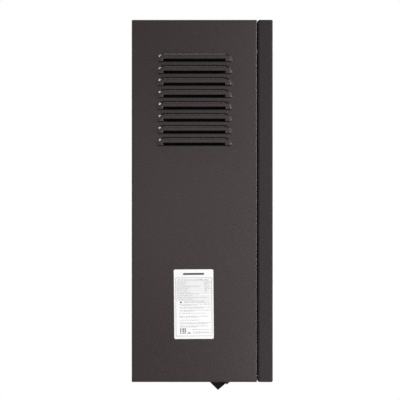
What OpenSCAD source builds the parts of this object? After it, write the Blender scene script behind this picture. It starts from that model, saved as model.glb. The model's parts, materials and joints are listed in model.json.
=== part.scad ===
// Wall-hung electric boiler with a circulation pump and an expansion vessel.
// Millimetres. +Z is up and -Y is the front. The wall is the plane Y = 0, and the origin is the middle
// of the wall bracket's screw line.

/* [Casing] */
// Width of the casing
case_w = 390; // [384:1:420]
// Height of the casing
case_h = 688; // [684:1:740]
// Depth of the casing, from the wall to the front edge of its sides
case_d = 238; // [237:1:256]
// Thickness of the casing's sheet steel
sheet = 1.2; // [1:0.1:1.5]
// Outside radius of a folded edge
fold_r = 2.4; // [2:0.1:3]
// Radius of the corners where two flanges meet
corner_r = 1.8; // [1.5:0.1:2]
// Depth of the flanges folded in round a side panel
flange = 18; // [16:0.5:20]
// How far the sides reach below the bottom panel
skirt = 25; // [24:0.5:30]
// Space between the wall and the back panel
wall_gap = 14; // [13:0.5:18]
// Depth of the flange folded up round the bottom panel and down from the top panel
tray_lip = 14; // [10:1:18]

/* [Wall bracket] */
// Distance from the top of the casing down to the wall screws
hang_drop = 70; // [66:1:76]
// Length of the wall bracket
bracket_w = 300; // [280:5:330]
// Height of the bracket's wall flange
bracket_h = 36; // [32:1:40]
// Thickness of the bracket's steel
bracket_t = 2.5; // [2:0.1:3]
// Height of the lip that the casing hangs on
bracket_lip = 16; // [14:0.5:18]
// Distance between the two wall screws
bracket_pitch = 240; // [200:5:250]
// Radius of a wall screw hole
bracket_hole_r = 4.25; // [3.5:0.05:5]

/* [Louvres] */
// Number of louvres on each side
louvre_count = 8; // [6:1:9]
// Length of a louvre
louvre_len = 142; // [120:1:160]
// Height of a louvre
louvre_h = 14.2; // [12:0.1:15]
// How far a louvre stands out
louvre_out = 7.5; // [6:0.1:9]
// Outside radius of the fold along the top and round the ends of a louvre
louvre_fold = 4; // [3:0.1:5]
// Height of the open slot under a louvre
louvre_slot = 5; // [3:0.1:6]
// How far the slot runs into the louvre's round ends
louvre_over = 2.4; // [0:0.1:4]
// Distance from one louvre to the next
louvre_pitch = 22.8; // [21:0.1:25]
// Distance from the top of the casing to the top of the first louvre
louvre_top = 64.5; // [50:0.5:80]

/* [Rating label] */
// Width of the label
label_w = 75; // [60:1:90]
// Height of the label
label_h = 132; // [110:1:150]
// Thickness of the label
label_t = 0.2; // [0.15:0.05:0.3]
// Corner radius of the label
label_r = 2.5; // [1.5:0.1:4]
// Distance from the wall to the middle of the label
label_d = 118; // [100:1:140]
// Distance from the foot of the casing to the middle of the label
label_rise = 148; // [120:1:180]
// How far the label is turned from upright, in degrees
label_tilt = 0.43; // [0:0.01:1]

/* [Front cover] */
// Depth of the front cover
cover_d = 27.7; // [26:0.1:34]
// Gap between the casing and the cover
cover_gap = 2.3; // [1.6:0.1:3]
// Outside radius of the cover's edges
cover_r = 2.6; // [2:0.1:4]
// Width of the lip folded in round the cover's rear edge
cover_lip = 7; // [5:0.5:8]
// Distance from the top or foot of the casing to the cover's studs
stud_inset = 60; // [45:1:75]
// Radius of the ball on a cover stud
stud_ball_r = 3.6; // [3.2:0.1:3.8]
// Radius of a cover stud's shank
stud_r = 2.2; // [1.8:0.1:2.6]
// Bore radius of a cover clip
clip_bore_r = 4.1; // [4.1:0.1:4.4]
// Radius of a clip's barrel
clip_r = 5.2; // [5.1:0.1:5.6]
// Length of a clip's barrel behind the flange
clip_len = 9; // [7:0.5:11]

/* [Control panel] */
// Width of the glossy fascia
panel_w = 200; // [170:1:230]
// Height of the glossy fascia
panel_h = 84; // [78:1:100]
// Corner radius of the fascia
panel_r = 7; // [5:0.5:9]
// Thickness of the fascia
fascia_t = 3; // [2.5:0.1:3.5]
// How far the fascia lies behind the cover's face
fascia_sink = 0.4; // [0.2:0.1:0.8]
// Distance from the top of the casing to the middle of the fascia
panel_drop = 190; // [150:1:240]
// Width of the display window
window_w = 74; // [60:1:84]
// Height of the display window
window_h = 30; // [26:1:32]
// Height of the window's middle above the middle of the fascia
window_rise = 16; // [14:0.5:18]
// Radius of a button
button_r = 7; // [6:0.1:8]
// Distance from one button to the next
button_pitch = 36; // [30:0.5:40]
// How far the buttons' middles lie below the middle of the fascia
button_fall = 22; // [20:0.5:25]
// Travel of a button
button_travel = 0.8; // [0.5:0.1:1]
// Depth of the housing behind the cover's sheet
housing_d = 17; // [16:0.5:19]
// Thickness of the housing's walls
housing_wall = 2; // [1.6:0.1:2.4]

/* [Heat exchanger] */
// Outside radius of the tank
tank_r = 50; // [46:0.5:51]
// Wall of the tank
tank_wall = 2; // [1.5:0.1:2.5]
// Height of the tank's inlet above the pump's upper joint
tank_rise = 27; // [25:0.5:34]
// Height of the tank's inlet above its dished foot
inlet_rise = 38; // [34:1:44]
// Distance from the roof of the casing to the top of the tank's flange
tank_drop = 108; // [104:1:112]
// Distance from the outside of the casing to the tank's axis
tank_inset = 80; // [78:1:84]
// Clear distance between the expansion vessel and the tank's flange
tank_clear = 7; // [4:0.5:7]
// Thickness of the foam jacket
jacket_t = 5; // [4:0.5:5.5]
// Thickness of each of the two bolted flanges
heater_flange_t = 7; // [6:0.5:8]
// Radius of the bolt circle
heater_bolt_circle = 56; // [55.5:0.1:57]
// Number of flange bolts
heater_bolt_count = 8; // [6:1:10]
// Radius of a flange bolt's shank
heater_bolt_r = 3; // [2.5:0.1:3]
// Radius of a heating rod
rod_r = 4.2; // [4:0.1:4.5]
// Clear height between the heating rods and the tank's foot
rod_gap = 60; // [40:1:80]
// Distance of the rods from the tank's axis
rod_circle = 28; // [26:0.5:30]
// Half the width of a hairpin's bend
hairpin_half = 9; // [7.5:0.5:10]
// Width of the channel that carries the tank
channel_w = 36; // [30:1:40]
// Width of the tank's straps
strap_w = 16; // [12:1:20]
// Outside radius of the ceramic insulators
insulator_r = 6.6; // [6.2:0.1:7]
// Height of the ceramic insulators
insulator_h = 12; // [10:0.5:14]

/* [Pipework] */
// Outside radius of the copper pipes
pipe_r = 9; // [8:0.5:9.5]
// Wall of the copper pipes
pipe_wall = 1; // [0.8:0.1:1.5]
// Bend radius of the pipes
pipe_bend = 22; // [20:0.5:24]
// Length of the tank's nozzles beyond its wall
nozzle_len = 16; // [15:0.5:18]
// Radius of the male threads under the casing
thread_r = 13.2; // [12.8:0.1:13.6]
// Bore radius of the threaded connectors
connector_bore_r = 9; // [7.5:0.5:9.5]
// Number of air slots in the bottom panel, on each side of the pod
vent_count = 5; // [3:1:6]
// Distance from one air slot to the next
vent_pitch = 14; // [12:0.5:16]
// Height of the threads' ends above the foot of the casing
thread_rise = 3; // [2:0.5:4]
// Thickness of a lock nut
nut_t = 6; // [5:0.5:7]
// Distance from the outside of the casing to the return connector's axis
return_inset = 70; // [68:1:72]
// Distance from the outside of the casing to the flow connector's axis
flow_inset = 65; // [60:1:70]
// Outside radius of the return manifold
manifold_r = 15; // [14:0.5:16]
// Radius of the screwed joints above and below the pump
joint_r = 16; // [15.5:0.1:17]
// Height of a union nut
union_h = 22; // [18:1:24]

/* [Circulation pump] */
// Height of the pump's axis above the bottom panel
pump_rise = 147; // [144:1:150]
// Distance between the pump's two joints
pump_span = 130; // [126:1:132]
// Radius of the volute
volute_r = 41; // [40:0.5:43]
// Depth of the volute
volute_d = 52; // [48:1:56]
// Radius of the motor
motor_r = 43; // [40:0.5:44]
// Length of the motor
motor_len = 78; // [70:1:84]
// Radius of the impeller
impeller_r = 30; // [27:0.5:32]
// Radius of the pump's rotor
rotor_r = 22; // [20:0.5:24]
// Radius of the pump's shaft
shaft_r = 5; // [4:0.5:6]
// Radius of the speed knob
speed_knob_r = 9; // [8:0.5:10]

/* [Expansion vessel] */
// Radius of the vessel
vessel_r = 158; // [154:0.5:159]
// Thickness of the vessel
vessel_t = 82; // [76:1:82]
// Gap between the back panel and the vessel
vessel_stand = 3; // [2:0.5:4]
// Distance from the roof of the casing to the vessel
vessel_drop = 84; // [80:1:86]
// Distance of the vessel's axis to the right of the middle
vessel_x = 15; // [10:1:18]
// Width of the rolled rim
rim_w = 12; // [10:1:14]
// How far the rolled rim stands out
rim_out = 3; // [2:0.5:3.5]
// How far each half bulges
vessel_bulge = 22; // [16:1:26]
// Thickness of the vessel's steel
vessel_wall = 1.5; // [1.2:0.1:2]
// Radius of the flexible hose
hose_r = 7; // [6:0.5:7.5]
// Bend radius of the hose
hose_bend = 34; // [30:1:40]

/* [Valves] */
// Radius of the safety valve's body
safety_r = 12; // [11:0.5:13]
// Length of the safety valve's body
safety_len = 36; // [33:1:40]
// Radius of the safety valve's knob
safety_knob_r = 15; // [13:0.5:16]
// Length of the safety valve's knob
safety_knob_len = 20; // [16:1:24]
// Radius of the relief outlet's thread
relief_r = 10.4; // [10:0.1:10.8]
// Length of the drain valve's body
drain_len = 40; // [36:1:44]
// Radius of the drain valve's body
drain_r = 9; // [8:0.5:9.5]
// Radius of the drain valve's hose tail
hose_tail_r = 7; // [6:0.1:7.2]
// Length of the drain valve's hose tail
hose_tail_len = 20; // [16:0.5:21]
// Length of the drain valve's lever
lever_len = 34; // [28:1:38]
// Radius of the air vent
vent_r = 14; // [12:0.5:15]
// Height of the air vent
vent_h = 48; // [40:1:52]

/* [Electronics] */
// Width of the electronics plate
plate_w = 206; // [196:1:210]
// Height of the electronics plate
plate_h = 300; // [290:1:310]
// Distance from the front of the casing back to the electronics plate
plate_inset = 58; // [54:1:60]
// Width of the control board
board_w = 150; // [140:1:160]
// Height of the control board
board_h = 196; // [190:1:200]
// Height of the board's standoffs
standoff_h = 8; // [6:0.5:10]
// Number of power relays in each of two rows
relay_count = 3; // [2:1:3]
// Number of poles of the mains terminal block
pole_count = 5; // [3:1:6]
// Width of one pole
pole_w = 14; // [12:0.5:15]
// Radius of the wires to the heater
wire_r = 2; // [1.6:0.1:2.4]
// Travel of the limit thermostat's reset button
reset_travel = 2; // [1:0.5:2.5]
// Bore radius of the cable gland
gland_bore_r = 6.5; // [5:0.5:7]
// Radius of the cable gland's thread
gland_r = 10; // [9.5:0.5:11]
// Distance of the cable gland's axis to the left of the middle
gland_x = 65; // [60:1:75]

/* [Service pod] */
// Distance from the wall to the pod's lower edge
pod_d = 164; // [150:1:170]
// How far the pod reaches below the casing
pod_drop = 17.5; // [12:0.5:20]
// Width of the pod
pod_w = 124; // [116:1:140]
// Angle of the pod's front face from upright, in degrees
pod_face = 50; // [46:0.5:52]
// Angle of the pod's rear face from upright, in degrees
pod_rear = 45; // [40:0.5:50]
// Wall of the pod
pod_wall = 2.5; // [2:0.1:3]
// Distance of the gauge and the switch up the face from the pod's lower edge
pod_station = 38; // [37:0.5:39]
// Radius of the pressure gauge's case
gauge_r = 17.5; // [16:0.5:18]
// Depth of the pressure gauge's case
gauge_d = 18; // [15:0.5:20]
// Distance of the gauge's axis to the left of the middle
gauge_x = 28; // [26:0.5:32]
// Distance of the switch to the right of the middle
rocker_x = 30; // [24:0.5:34]
// Half the length of the rocker
rocker_half = 10.8; // [9.5:0.1:11.5]
// Width of the rocker
rocker_w = 10; // [8:0.5:12]
// Tilt of the rocker either way from level, in degrees
rocker_tilt = 8; // [6:0.5:9]
// Radius of the rocker's pivot pins
pivot_r = 1; // [0.8:0.1:1.1]

/* [Hidden] */
$fn = 64;

// Colours
paint = "#46403f";
black_plastic = "#1d1f20";
gloss_black = "#101214";
zinc = "#b9bcbd";
steel = "#a8acb0";
black_steel = "#2b2c2e";
brass = "#c8a45a";
copper = "#b87345";

// Clearances and small overlaps of cutting shapes
slip = 0.3;
snug = 0.1;
cut = 1;

// Planes of the casing
x_out = case_w / 2;
x_in = x_out - sheet;
z_top = hang_drop;
z_bot = z_top - case_h;
z_plate = z_bot + skirt + sheet;
z_under = z_bot + skirt;
z_roof = z_top - 2 * sheet;
y_back = -wall_gap - sheet;
y_front = -case_d;
y_cover = y_front - cover_gap;
y_face = y_cover - cover_d;
y_skin = y_face + sheet;

// Bracket and hanger
bracket_web_z = bracket_h / 2;
hook_z = bracket_web_z + bracket_lip;
bracket_lip_y = -(wall_gap - 8);
hanger_h = 20;

louvre_half = louvre_len / 2 - louvre_h;
louvre_foot = z_top - louvre_top - (louvre_count - 1) * louvre_pitch - louvre_h;

// Clips and studs
clip_x = x_out - flange / 2 - 0.6;
clip_z = [z_bot + stud_inset, z_top - stud_inset];
clip_lip_t = 1;

// Control panel
panel_z = z_top - panel_drop;
y_fascia = y_face + fascia_sink;
y_fascia_back = y_fascia + fascia_t;
y_web_back = y_fascia_back + housing_wall;
y_housing_back = y_skin + housing_d;
board_t = 1.6;
y_display_board = y_housing_back - board_t - 2;
switch_h = 3.5;

// Expansion vessel and the pipe line below it
vessel_y = y_back - vessel_stand - vessel_t / 2;
vessel_z = z_roof - vessel_drop - vessel_r;
line_y = vessel_y;
return_x = x_out - return_inset;
flow_x = -(x_out - flow_inset);
connector_top = z_plate + 18;
hex_t = 8;

// Pump
pump_z = z_plate + pump_rise;
pump_in_z = pump_z - pump_span / 2;
pump_out_z = pump_z + pump_span / 2;
volute_front = line_y - volute_d / 2;
impeller_t = 12;
pump_box = [34, 50, 56];
pump_box_x = return_x - motor_r - pump_box.x + 12;

// Tank
heater_flange_r = heater_bolt_circle + 6;
tank_x = -(x_out - tank_inset);
tank_y = vessel_y - vessel_t / 2 - tank_clear - heater_flange_r;
tank_top = z_roof - tank_drop;
inlet_z = pump_out_z + tank_rise;
inlet_y = tank_y - 3;
tank_foot = inlet_z - inlet_rise;
outlet_z = tank_top - heater_flange_t - nut_t - pipe_r - 3;
outlet_y = tank_y + 27;
rod_clear = 0.2;
rod_len = tank_top - tank_foot - rod_gap;
rod_top = tank_top + heater_flange_t + insulator_h;
blade_h = 9;
jacket_r = tank_r + jacket_t;
nozzle_x = tank_x + tank_r + nozzle_len;
strap_t = 1.2;
strap_z = [tank_foot + 80, louvre_foot - 6 - 2 * strap_w];
lug = 12;

// Flow riser
riser_x = nozzle_x + 22;
tee_r = 12;
tee_half = 18;
flow_turn_z = pump_in_z + 40;

// Manifold branches
hose_z = pump_in_z - union_h / 2 - 13;
drain_z = connector_top + 10;
safety_z = drain_z + 14;
branch_len = 12;
safety_back = line_y - manifold_r - branch_len;
safety_front = safety_back - safety_len;
relief_y = safety_back - 18;
drain_x = return_x - manifold_r - branch_len;
drain_spout_x = drain_x - drain_len + 12;
lever_x = drain_x - 12;
lever_y = line_y - drain_r - 8;
lever_t = 3;
tail_z = z_bot + thread_rise;

// Electronics
y_plate = y_front + plate_inset;
y_board = y_plate - sheet - standoff_h;
plate_left = x_in - plate_w;
plate_x = x_in - plate_w / 2;
plate_z = z_roof - plate_h / 2;
board_x = plate_x;
board_z = z_roof - tray_lip - 8 - board_h / 2;
transformer = [40, 34, 26];
socket = [14, 10, 12];
socket_pitch = 17;
capacitor_pitch = 18;
chip = [26, 26, 5];
relay = [19, 26, 28];
relay_pitch = 30;
relay_z = board_z + board_h / 2 - relay.z / 2 - 12;
block_z = z_roof - plate_h + 32;
block_h = 24;
block_d = 22;
thermostat = [30, 30, 24];
thermostat_x = plate_left + 32;
reset_r = 3;

// Service pod
pod_tip = [0, -pod_d, z_bot - pod_drop];
pod_h = skirt + pod_drop;
bezel_r = gauge_r + 1.6;
bezel_h = 3.2;
lens_z = 1.4;
gauge_port = 8;
dial_z = -3.5;
rocker_low = 1.2;
rocker_high = rocker_low + rocker_half * tan(rocker_tilt);
rocker_deep = 6;
rocker_reach = norm([rocker_half, rocker_high]) + slip;
switch_d = 16;

// General helpers

// The shape's +Z turned to the front, with its Y upright
module face_front(at) {
    translate(at) rotate([90, 0, 0]) children();
}

// A box given by two opposite corners
module block(low, high) {
    translate(low) cube(high - low);
}

module rounded_rect(w, h, r) {
    square([w - 2 * r, h], center = true);
    square([w, h - 2 * r], center = true);
    for (x = [-1, 1], y = [-1, 1])
        translate([x * (w / 2 - r), y * (h / 2 - r)]) circle(r);
}

// Outline of a shallow tub: flat foot on the X axis, round lower corners, open top at height d
module tub_outline(w, d, r) {
    translate([-w / 2, r]) square([w, d - r]);
    translate([-w / 2 + r, 0]) square([w - 2 * r, r]);
    for (x = [-1, 1]) translate([x * (w / 2 - r), r]) circle(r);
}

module tub(w, h, d, r, corner) {
    intersection() {
        translate([0, h / 2, 0]) rotate([90, 0, 0]) linear_extrude(h) tub_outline(w, d, r);
        translate([-w / 2, 0, 0]) rotate([90, 0, 90]) linear_extrude(w) tub_outline(h, d, r);
        linear_extrude(d) rounded_rect(w, h, corner);
    }
}

// A block with its long edges rounded, standing on Z = 0
module pillow(w, h, d, r) {
    intersection() {
        translate([0, h / 2, d / 2]) rotate([90, 0, 0]) linear_extrude(h) rounded_rect(w, d, r);
        translate([-w / 2, 0, d / 2]) rotate([90, 0, 90]) linear_extrude(w) rounded_rect(h, d, r);
    }
}

// A sheet-metal tray: flat face down on Z = 0 and flanges folded up on all four sides
module tray(w, h, d, t, r) {
    difference() {
        tub(w, h, d, r, corner_r);
        translate([0, 0, t]) tub(w - 2 * t, h - 2 * t, d, r - t, corner_r - t);
    }
}

module ring(r, bore, h) {
    difference() {
        cylinder(r = r, h = h);
        translate([0, 0, -cut]) cylinder(r = bore, h = h + 2 * cut);
    }
}

// A hexagonal nut or collar, r over its corners
module hex_ring(r, bore, h) {
    difference() {
        cylinder(r = r, h = h, $fn = 6);
        translate([0, 0, -cut]) cylinder(r = bore, h = h + 2 * cut);
    }
}

// Round bar or tube from a to b
module leg(a, b, r, wall) {
    v = b - a;
    translate(a) rotate([0, atan2(norm([v.x, v.y]), v.z), atan2(v.y, v.x)])
        if (wall > 0) ring(r, r - wall, norm(v));
        else cylinder(r = r, h = norm(v));
}

function unit(v) = v / norm(v);
function turn(a, b) = atan2(norm(cross(a, b)), a * b);
function turn_at(p, i) = turn(p[i] - p[i - 1], p[i + 1] - p[i]);
function setback(p, i, bend) = i == 0 || i == len(p) - 1 ? 0 : bend * tan(turn_at(p, i) / 2);

// Round bend at point i of a run
module elbow(p, i, r, bend, wall) {
    along = unit(p[i] - p[i - 1]);
    next = unit(p[i + 1] - p[i]);
    inward = unit(next - along * (along * next));
    centre = p[i] - along * setback(p, i, bend) + inward * bend;
    x = -inward;
    z = cross(x, along);
    multmatrix([
        [x.x, along.x, z.x, centre.x],
        [x.y, along.y, z.y, centre.y],
        [x.z, along.z, z.z, centre.z],
        [0, 0, 0, 1]
    ])
        rotate_extrude(angle = turn_at(p, i)) translate([bend, 0]) difference() {
            circle(r);
            if (wall > 0) circle(r - wall);
        }
}

// Straight legs through the points p, joined by round bends
module pipe_run(p, r, bend, wall = 0) {
    for (i = [0 : len(p) - 2]) {
        along = unit(p[i + 1] - p[i]);
        leg(p[i] + along * setback(p, i, bend), p[i + 1] - along * setback(p, i + 1, bend), r, wall);
    }
    for (i = [1 : 1 : len(p) - 2]) elbow(p, i, r, bend, wall);
}

// Wall bracket and casing

module wall_bracket() {
    color(zinc) difference() {
        translate([-bracket_w / 2, 0, 0]) rotate([90, 0, 90]) linear_extrude(bracket_w) {
            translate([-bracket_t, -bracket_h / 2]) square([bracket_t, bracket_h]);
            translate([bracket_lip_y - bracket_t, bracket_web_z - bracket_t])
                square([bracket_t - bracket_lip_y, bracket_t]);
            translate([bracket_lip_y - bracket_t, bracket_web_z - bracket_t])
                square([bracket_t, bracket_lip + bracket_t]);
        }
        for (x = [-1, 1])
            face_front([x * bracket_pitch / 2, cut, 0]) cylinder(r = bracket_hole_r, h = bracket_t + 2 * cut);
    }
}

// Rail on the back panel that drops over the bracket's lip
module hanger_rail() {
    lip_y = bracket_lip_y + slip;
    translate([-bracket_w / 2, 0, 0]) rotate([90, 0, 90]) linear_extrude(bracket_w) {
        translate([-wall_gap, hook_z]) square([wall_gap + lip_y + bracket_t, bracket_t]);
        translate([lip_y, hook_z - bracket_lip + 2 * slip]) square([bracket_t, bracket_lip]);
        translate([-wall_gap, hook_z]) square([bracket_t, hanger_h]);
    }
}

module back_panel() {
    height = z_roof - z_bot - sheet;
    color(zinc) {
        translate([0, y_back, z_roof - height / 2]) rotate([-90, 0, 0])
            tray(2 * x_in, height, wall_gap - fold_r + sheet, sheet, fold_r);
        hanger_rail();
    }
}

// Solid round-ended louvre with folded edges, drawn in by t, from depth d inside the panel's face outward
module louvre_form(t, d) {
    module outline() {
        translate([0, -d]) square([louvre_h - t, d]);
        square([louvre_h - t, louvre_out - louvre_fold]);
        square([louvre_h - louvre_fold, louvre_out - t]);
        translate([louvre_h - louvre_fold, louvre_out - louvre_fold]) intersection() {
            circle(louvre_fold - t);
            square(louvre_fold);
        }
    }
    translate([0, louvre_half, 0]) rotate([0, -90, 0]) rotate([90, 0, 0])
        linear_extrude(2 * louvre_half) outline();
    translate([0, louvre_half, 0]) rotate([0, -90, 0]) rotate_extrude(angle = 90) outline();
    translate([0, -louvre_half, 0]) rotate([0, -90, 0]) rotate_extrude(angle = 90, start = 270) outline();
}

module louvre() {
    difference() {
        louvre_form(0, sheet);
        translate([0, 0, -cut]) louvre_form(sheet, sheet + cut);
        block([-louvre_out - cut, -louvre_half - louvre_over, -cut], [0, louvre_half + louvre_over, louvre_slot]);
    }
}

module side_panel() {
    module at_louvres() {
        for (i = [0 : louvre_count - 1])
            translate([-x_out, -case_d / 2, z_top - louvre_top - louvre_h - i * louvre_pitch]) children();
    }
    color(paint) {
        difference() {
            translate([-x_out, -case_d / 2, z_top - case_h / 2]) rotate([0, 90, 0])
                tray(case_h, case_d, flange, sheet, fold_r);
            at_louvres() louvre_form(0, sheet + cut);
            for (z = clip_z) face_front([-clip_x, y_front + sheet + cut, z])
                cylinder(r = clip_r + snug, h = sheet + 2 * cut);
        }
        at_louvres() louvre();
    }
}

module left_side_panel() {
    side_panel();
}

module right_side_panel() {
    mirror([1, 0, 0]) side_panel();
}

// Flat roof under the sides' top flanges, with a flange folded down along its front edge
module top_panel() {
    depth = case_d - 3 * sheet;
    half = x_in - fold_r + sheet;
    color(paint) intersection() {
        translate([0, -2 * sheet - depth, z_top - sheet]) rotate([180, 0, 0]) translate([0, -depth, 0])
            tray(2 * case_w, 2 * depth, tray_lip, sheet, fold_r);
        block([-half, -2 * sheet - depth, z_top - case_h], [half, -2 * sheet, z_top]);
    }
}

module bottom_panel() {
    depth = case_d - sheet + y_back;
    color(zinc) difference() {
        translate([0, y_back - depth / 2, z_under]) tray(2 * x_in, depth, tray_lip, sheet, fold_r);
        for (x = [flow_x, return_x])
            translate([x, line_y, z_under - cut]) cylinder(r = thread_r + slip, h = sheet + 2 * cut);
        translate([return_x, relief_y, z_under - cut]) cylinder(r = relief_r + slip, h = sheet + 2 * cut);
        translate([drain_spout_x, line_y, z_under - cut]) cylinder(r = drain_r, h = sheet + 2 * cut);
        translate([-gland_x, line_y, z_under - cut]) cylinder(r = gland_r + snug, h = sheet + 2 * cut);
        pod_opening();
        for (side = [-1, 1], i = [0 : vent_count - 1])
            translate([side * (pod_w / 2 + 30 + i * vent_pitch), pod_tip.y, z_under - cut])
                linear_extrude(sheet + 2 * cut) rounded_rect(5, 50, 2.4);
    }
}

module rating_label() {
    color("white")
        translate([-x_out, -label_d, z_bot + label_rise]) rotate([-label_tilt, 0, 0]) rotate([0, -90, 0])
            linear_extrude(label_t) rounded_rect(label_h, label_w, label_r);
}

// Front cover and how it is held

module front_cover() {
    color(paint) difference() {
        translate([0, y_face, z_top - case_h / 2]) rotate([-90, 0, 0]) difference() {
            pillow(case_w, case_h, cover_d, cover_r);
            translate([0, 0, sheet])
                pillow(case_w - 2 * sheet, case_h - 2 * sheet, cover_d - 2 * sheet, cover_r - sheet);
            translate([0, 0, cover_d])
                cube([case_w - 2 * cover_lip, case_h - 2 * cover_lip, 4 * sheet], center = true);
        }
        face_front([0, y_skin + cut, panel_z]) linear_extrude(sheet + 2 * cut)
            rounded_rect(panel_w, panel_h, panel_r);
    }
}

// Four studs welded inside the cover; their balls press into the clips
module cover_studs() {
    ball_y = y_front + sheet + stud_ball_r;
    color(steel) for (x = [-1, 1], z = clip_z) {
        face_front([x * clip_x, y_skin + 1.5, z]) cylinder(r = 6, h = 1.5);
        face_front([x * clip_x, ball_y, z]) cylinder(r = stud_r, h = ball_y - y_skin - 1);
        translate([x * clip_x, ball_y, z]) sphere(stud_ball_r);
    }
}

module cover_clips() {
    color(black_plastic) for (x = [-1, 1], z = clip_z)
        face_front([x * clip_x, y_front + clip_len, z]) difference() {
            union() {
                cylinder(r = clip_r, h = clip_len);
                translate([0, 0, clip_len]) cylinder(r = clip_r + 1.4, h = clip_lip_t);
            }
            translate([0, 0, -cut]) cylinder(r = clip_bore_r, h = clip_len + clip_lip_t + 2 * cut);
        }
}

// Control panel

// Places its child at each button, and sets no other thing
module at_button(i) {
    translate([(i - 1.5) * button_pitch, 0, panel_z - button_fall]) children();
}

// Openings for the buttons and the display, from y_from forward to y_to
module panel_openings(y_from, y_to, w, h) {
    for (i = [0 : 3]) at_button(i) face_front([0, y_from, 0])
        cylinder(r = button_r + slip, h = y_from - y_to);
    face_front([0, y_from, panel_z + window_rise]) linear_extrude(y_from - y_to) rounded_rect(w, h, 2);
}

module control_fascia() {
    color(gloss_black) difference() {
        face_front([0, y_fascia_back, panel_z]) linear_extrude(fascia_t)
            rounded_rect(panel_w - 2 * slip, panel_h - 2 * slip, panel_r - slip);
        panel_openings(y_fascia_back + cut, y_fascia - cut, window_w + 2 * snug, window_h + 2 * snug);
    }
}

module display_lens() {
    color([0.1, 0.1, 0.12, 0.6]) face_front([0, y_fascia_back, panel_z + window_rise])
        linear_extrude(fascia_t) rounded_rect(window_w, window_h, 2);
}

// Housing behind the cover's sheet: a pocket in front for the fascia and a cavity behind for the board
module control_housing() {
    rim = 8;
    inner = 2 * (rim - housing_wall);
    color(black_plastic) {
        difference() {
            face_front([0, y_housing_back, panel_z]) linear_extrude(housing_d)
                rounded_rect(panel_w + 2 * rim, panel_h + 2 * rim, panel_r);
            face_front([0, y_fascia_back, panel_z]) linear_extrude(fascia_t)
                rounded_rect(panel_w, panel_h, panel_r);
            face_front([0, y_housing_back + cut, panel_z]) linear_extrude(y_housing_back + cut - y_web_back)
                rounded_rect(panel_w + inner, panel_h + inner, panel_r - 2);
            panel_openings(y_web_back + cut, y_fascia_back - cut, window_w - 4, window_h - 4);
        }
        for (x = [-1, 1], z = [-1, 1])
            face_front([x * (panel_w / 2 - 3), y_display_board, panel_z + z * (panel_h / 2 - 3)])
                cylinder(r = 3, h = y_display_board - y_web_back);
    }
}

module display_board() {
    color("#1f5b34") {
        face_front([0, y_display_board + board_t, panel_z]) linear_extrude(board_t)
            rounded_rect(panel_w, panel_h, 3);
        face_front([0, y_display_board, panel_z + window_rise])
            linear_extrude(y_display_board - y_web_back - slip)
                square([window_w - 6, window_h - 4], center = true);
        for (i = [0 : 3]) at_button(i) face_front([0, y_display_board, 0])
            linear_extrude(switch_h) square(6, center = true);
    }
}

module button(i) {
    collar_back = y_web_back + slip + 1.5;
    stem_end = y_display_board - switch_h - button_travel - snug;
    color("#2a2c2e") at_button(i) {
        face_front([0, collar_back, 0]) cylinder(r = button_r, h = collar_back - y_fascia);
        face_front([0, collar_back, 0]) cylinder(r = button_r + 1.6, h = 1.5);
        face_front([0, stem_end, 0]) cylinder(r = 2, h = stem_end - y_web_back);
    }
}

module button_power() {
    button(0);
}

module button_mode() {
    button(1);
}

module button_down() {
    button(2);
}

module button_up() {
    button(3);
}

// Heat exchanger

module at_tank(z) {
    translate([tank_x, tank_y, z]) children();
}

module at_bolts(z) {
    at_tank(z) for (i = [0 : heater_bolt_count - 1])
        rotate([0, 0, (i + 0.5) * 360 / heater_bolt_count]) translate([heater_bolt_circle, 0, 0]) children();
}

// The two legs of each of the three hairpins
module at_rods(z) {
    at_tank(z) for (i = [0 : 2], side = [-1, 1])
        rotate([0, 0, i * 120]) translate([rod_circle, side * hairpin_half, 0]) children();
}

// Cylinder with a dished foot
module dished(r, foot, top) {
    dish_r = 1.6 * tank_r;
    intersection() {
        at_tank(foot) cylinder(r = r, h = top - foot);
        at_tank(foot + dish_r) union() {
            sphere(dish_r);
            cylinder(r = r + cut, h = top - foot);
        }
    }
}

module heat_tank() {
    color(black_steel) difference() {
        union() {
            dished(tank_r, tank_foot, tank_top);
            at_tank(tank_top - heater_flange_t) cylinder(r = heater_flange_r, h = heater_flange_t);
            leg([tank_x + tank_r - 8, inlet_y, inlet_z], [nozzle_x, inlet_y, inlet_z], pipe_r + 1, 0);
            leg([tank_x + tank_r - 24, outlet_y, outlet_z], [nozzle_x, outlet_y, outlet_z], pipe_r + 1, 0);
        }
        dished(tank_r - tank_wall, tank_foot + tank_wall, tank_top + cut);
        leg([tank_x, inlet_y, inlet_z], [nozzle_x + cut, inlet_y, inlet_z], pipe_r - pipe_wall, 0);
        leg([tank_x, outlet_y, outlet_z], [nozzle_x + cut, outlet_y, outlet_z], pipe_r - pipe_wall, 0);
        at_bolts(tank_top - heater_flange_t - cut)
            cylinder(r = heater_bolt_r + snug, h = heater_flange_t + 2 * cut);
    }
}

// Foam jacket between the two nozzles
module tank_jacket() {
    low = inlet_z + pipe_r + 4;
    high = outlet_z - pipe_r - 4;
    color("#26282a") at_tank(low) ring(jacket_r, tank_r, high - low);
}

// Upright channel that carries the tank on the back panel
module tank_frame() {
    left = -x_in;
    right = left + channel_w;
    front = tank_y + lug;
    low = strap_z[0] - 2 * strap_w;
    high = strap_z[1] + 2 * strap_w;
    color(zinc) difference() {
        block([left, front, low], [right, y_back, high]);
        block([left + sheet, front - cut, low - cut], [right - sheet, y_back - sheet, high + cut]);
        at_tank(low - cut) cylinder(r = jacket_r + strap_t, h = high - low + 2 * cut);
    }
}

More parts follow.
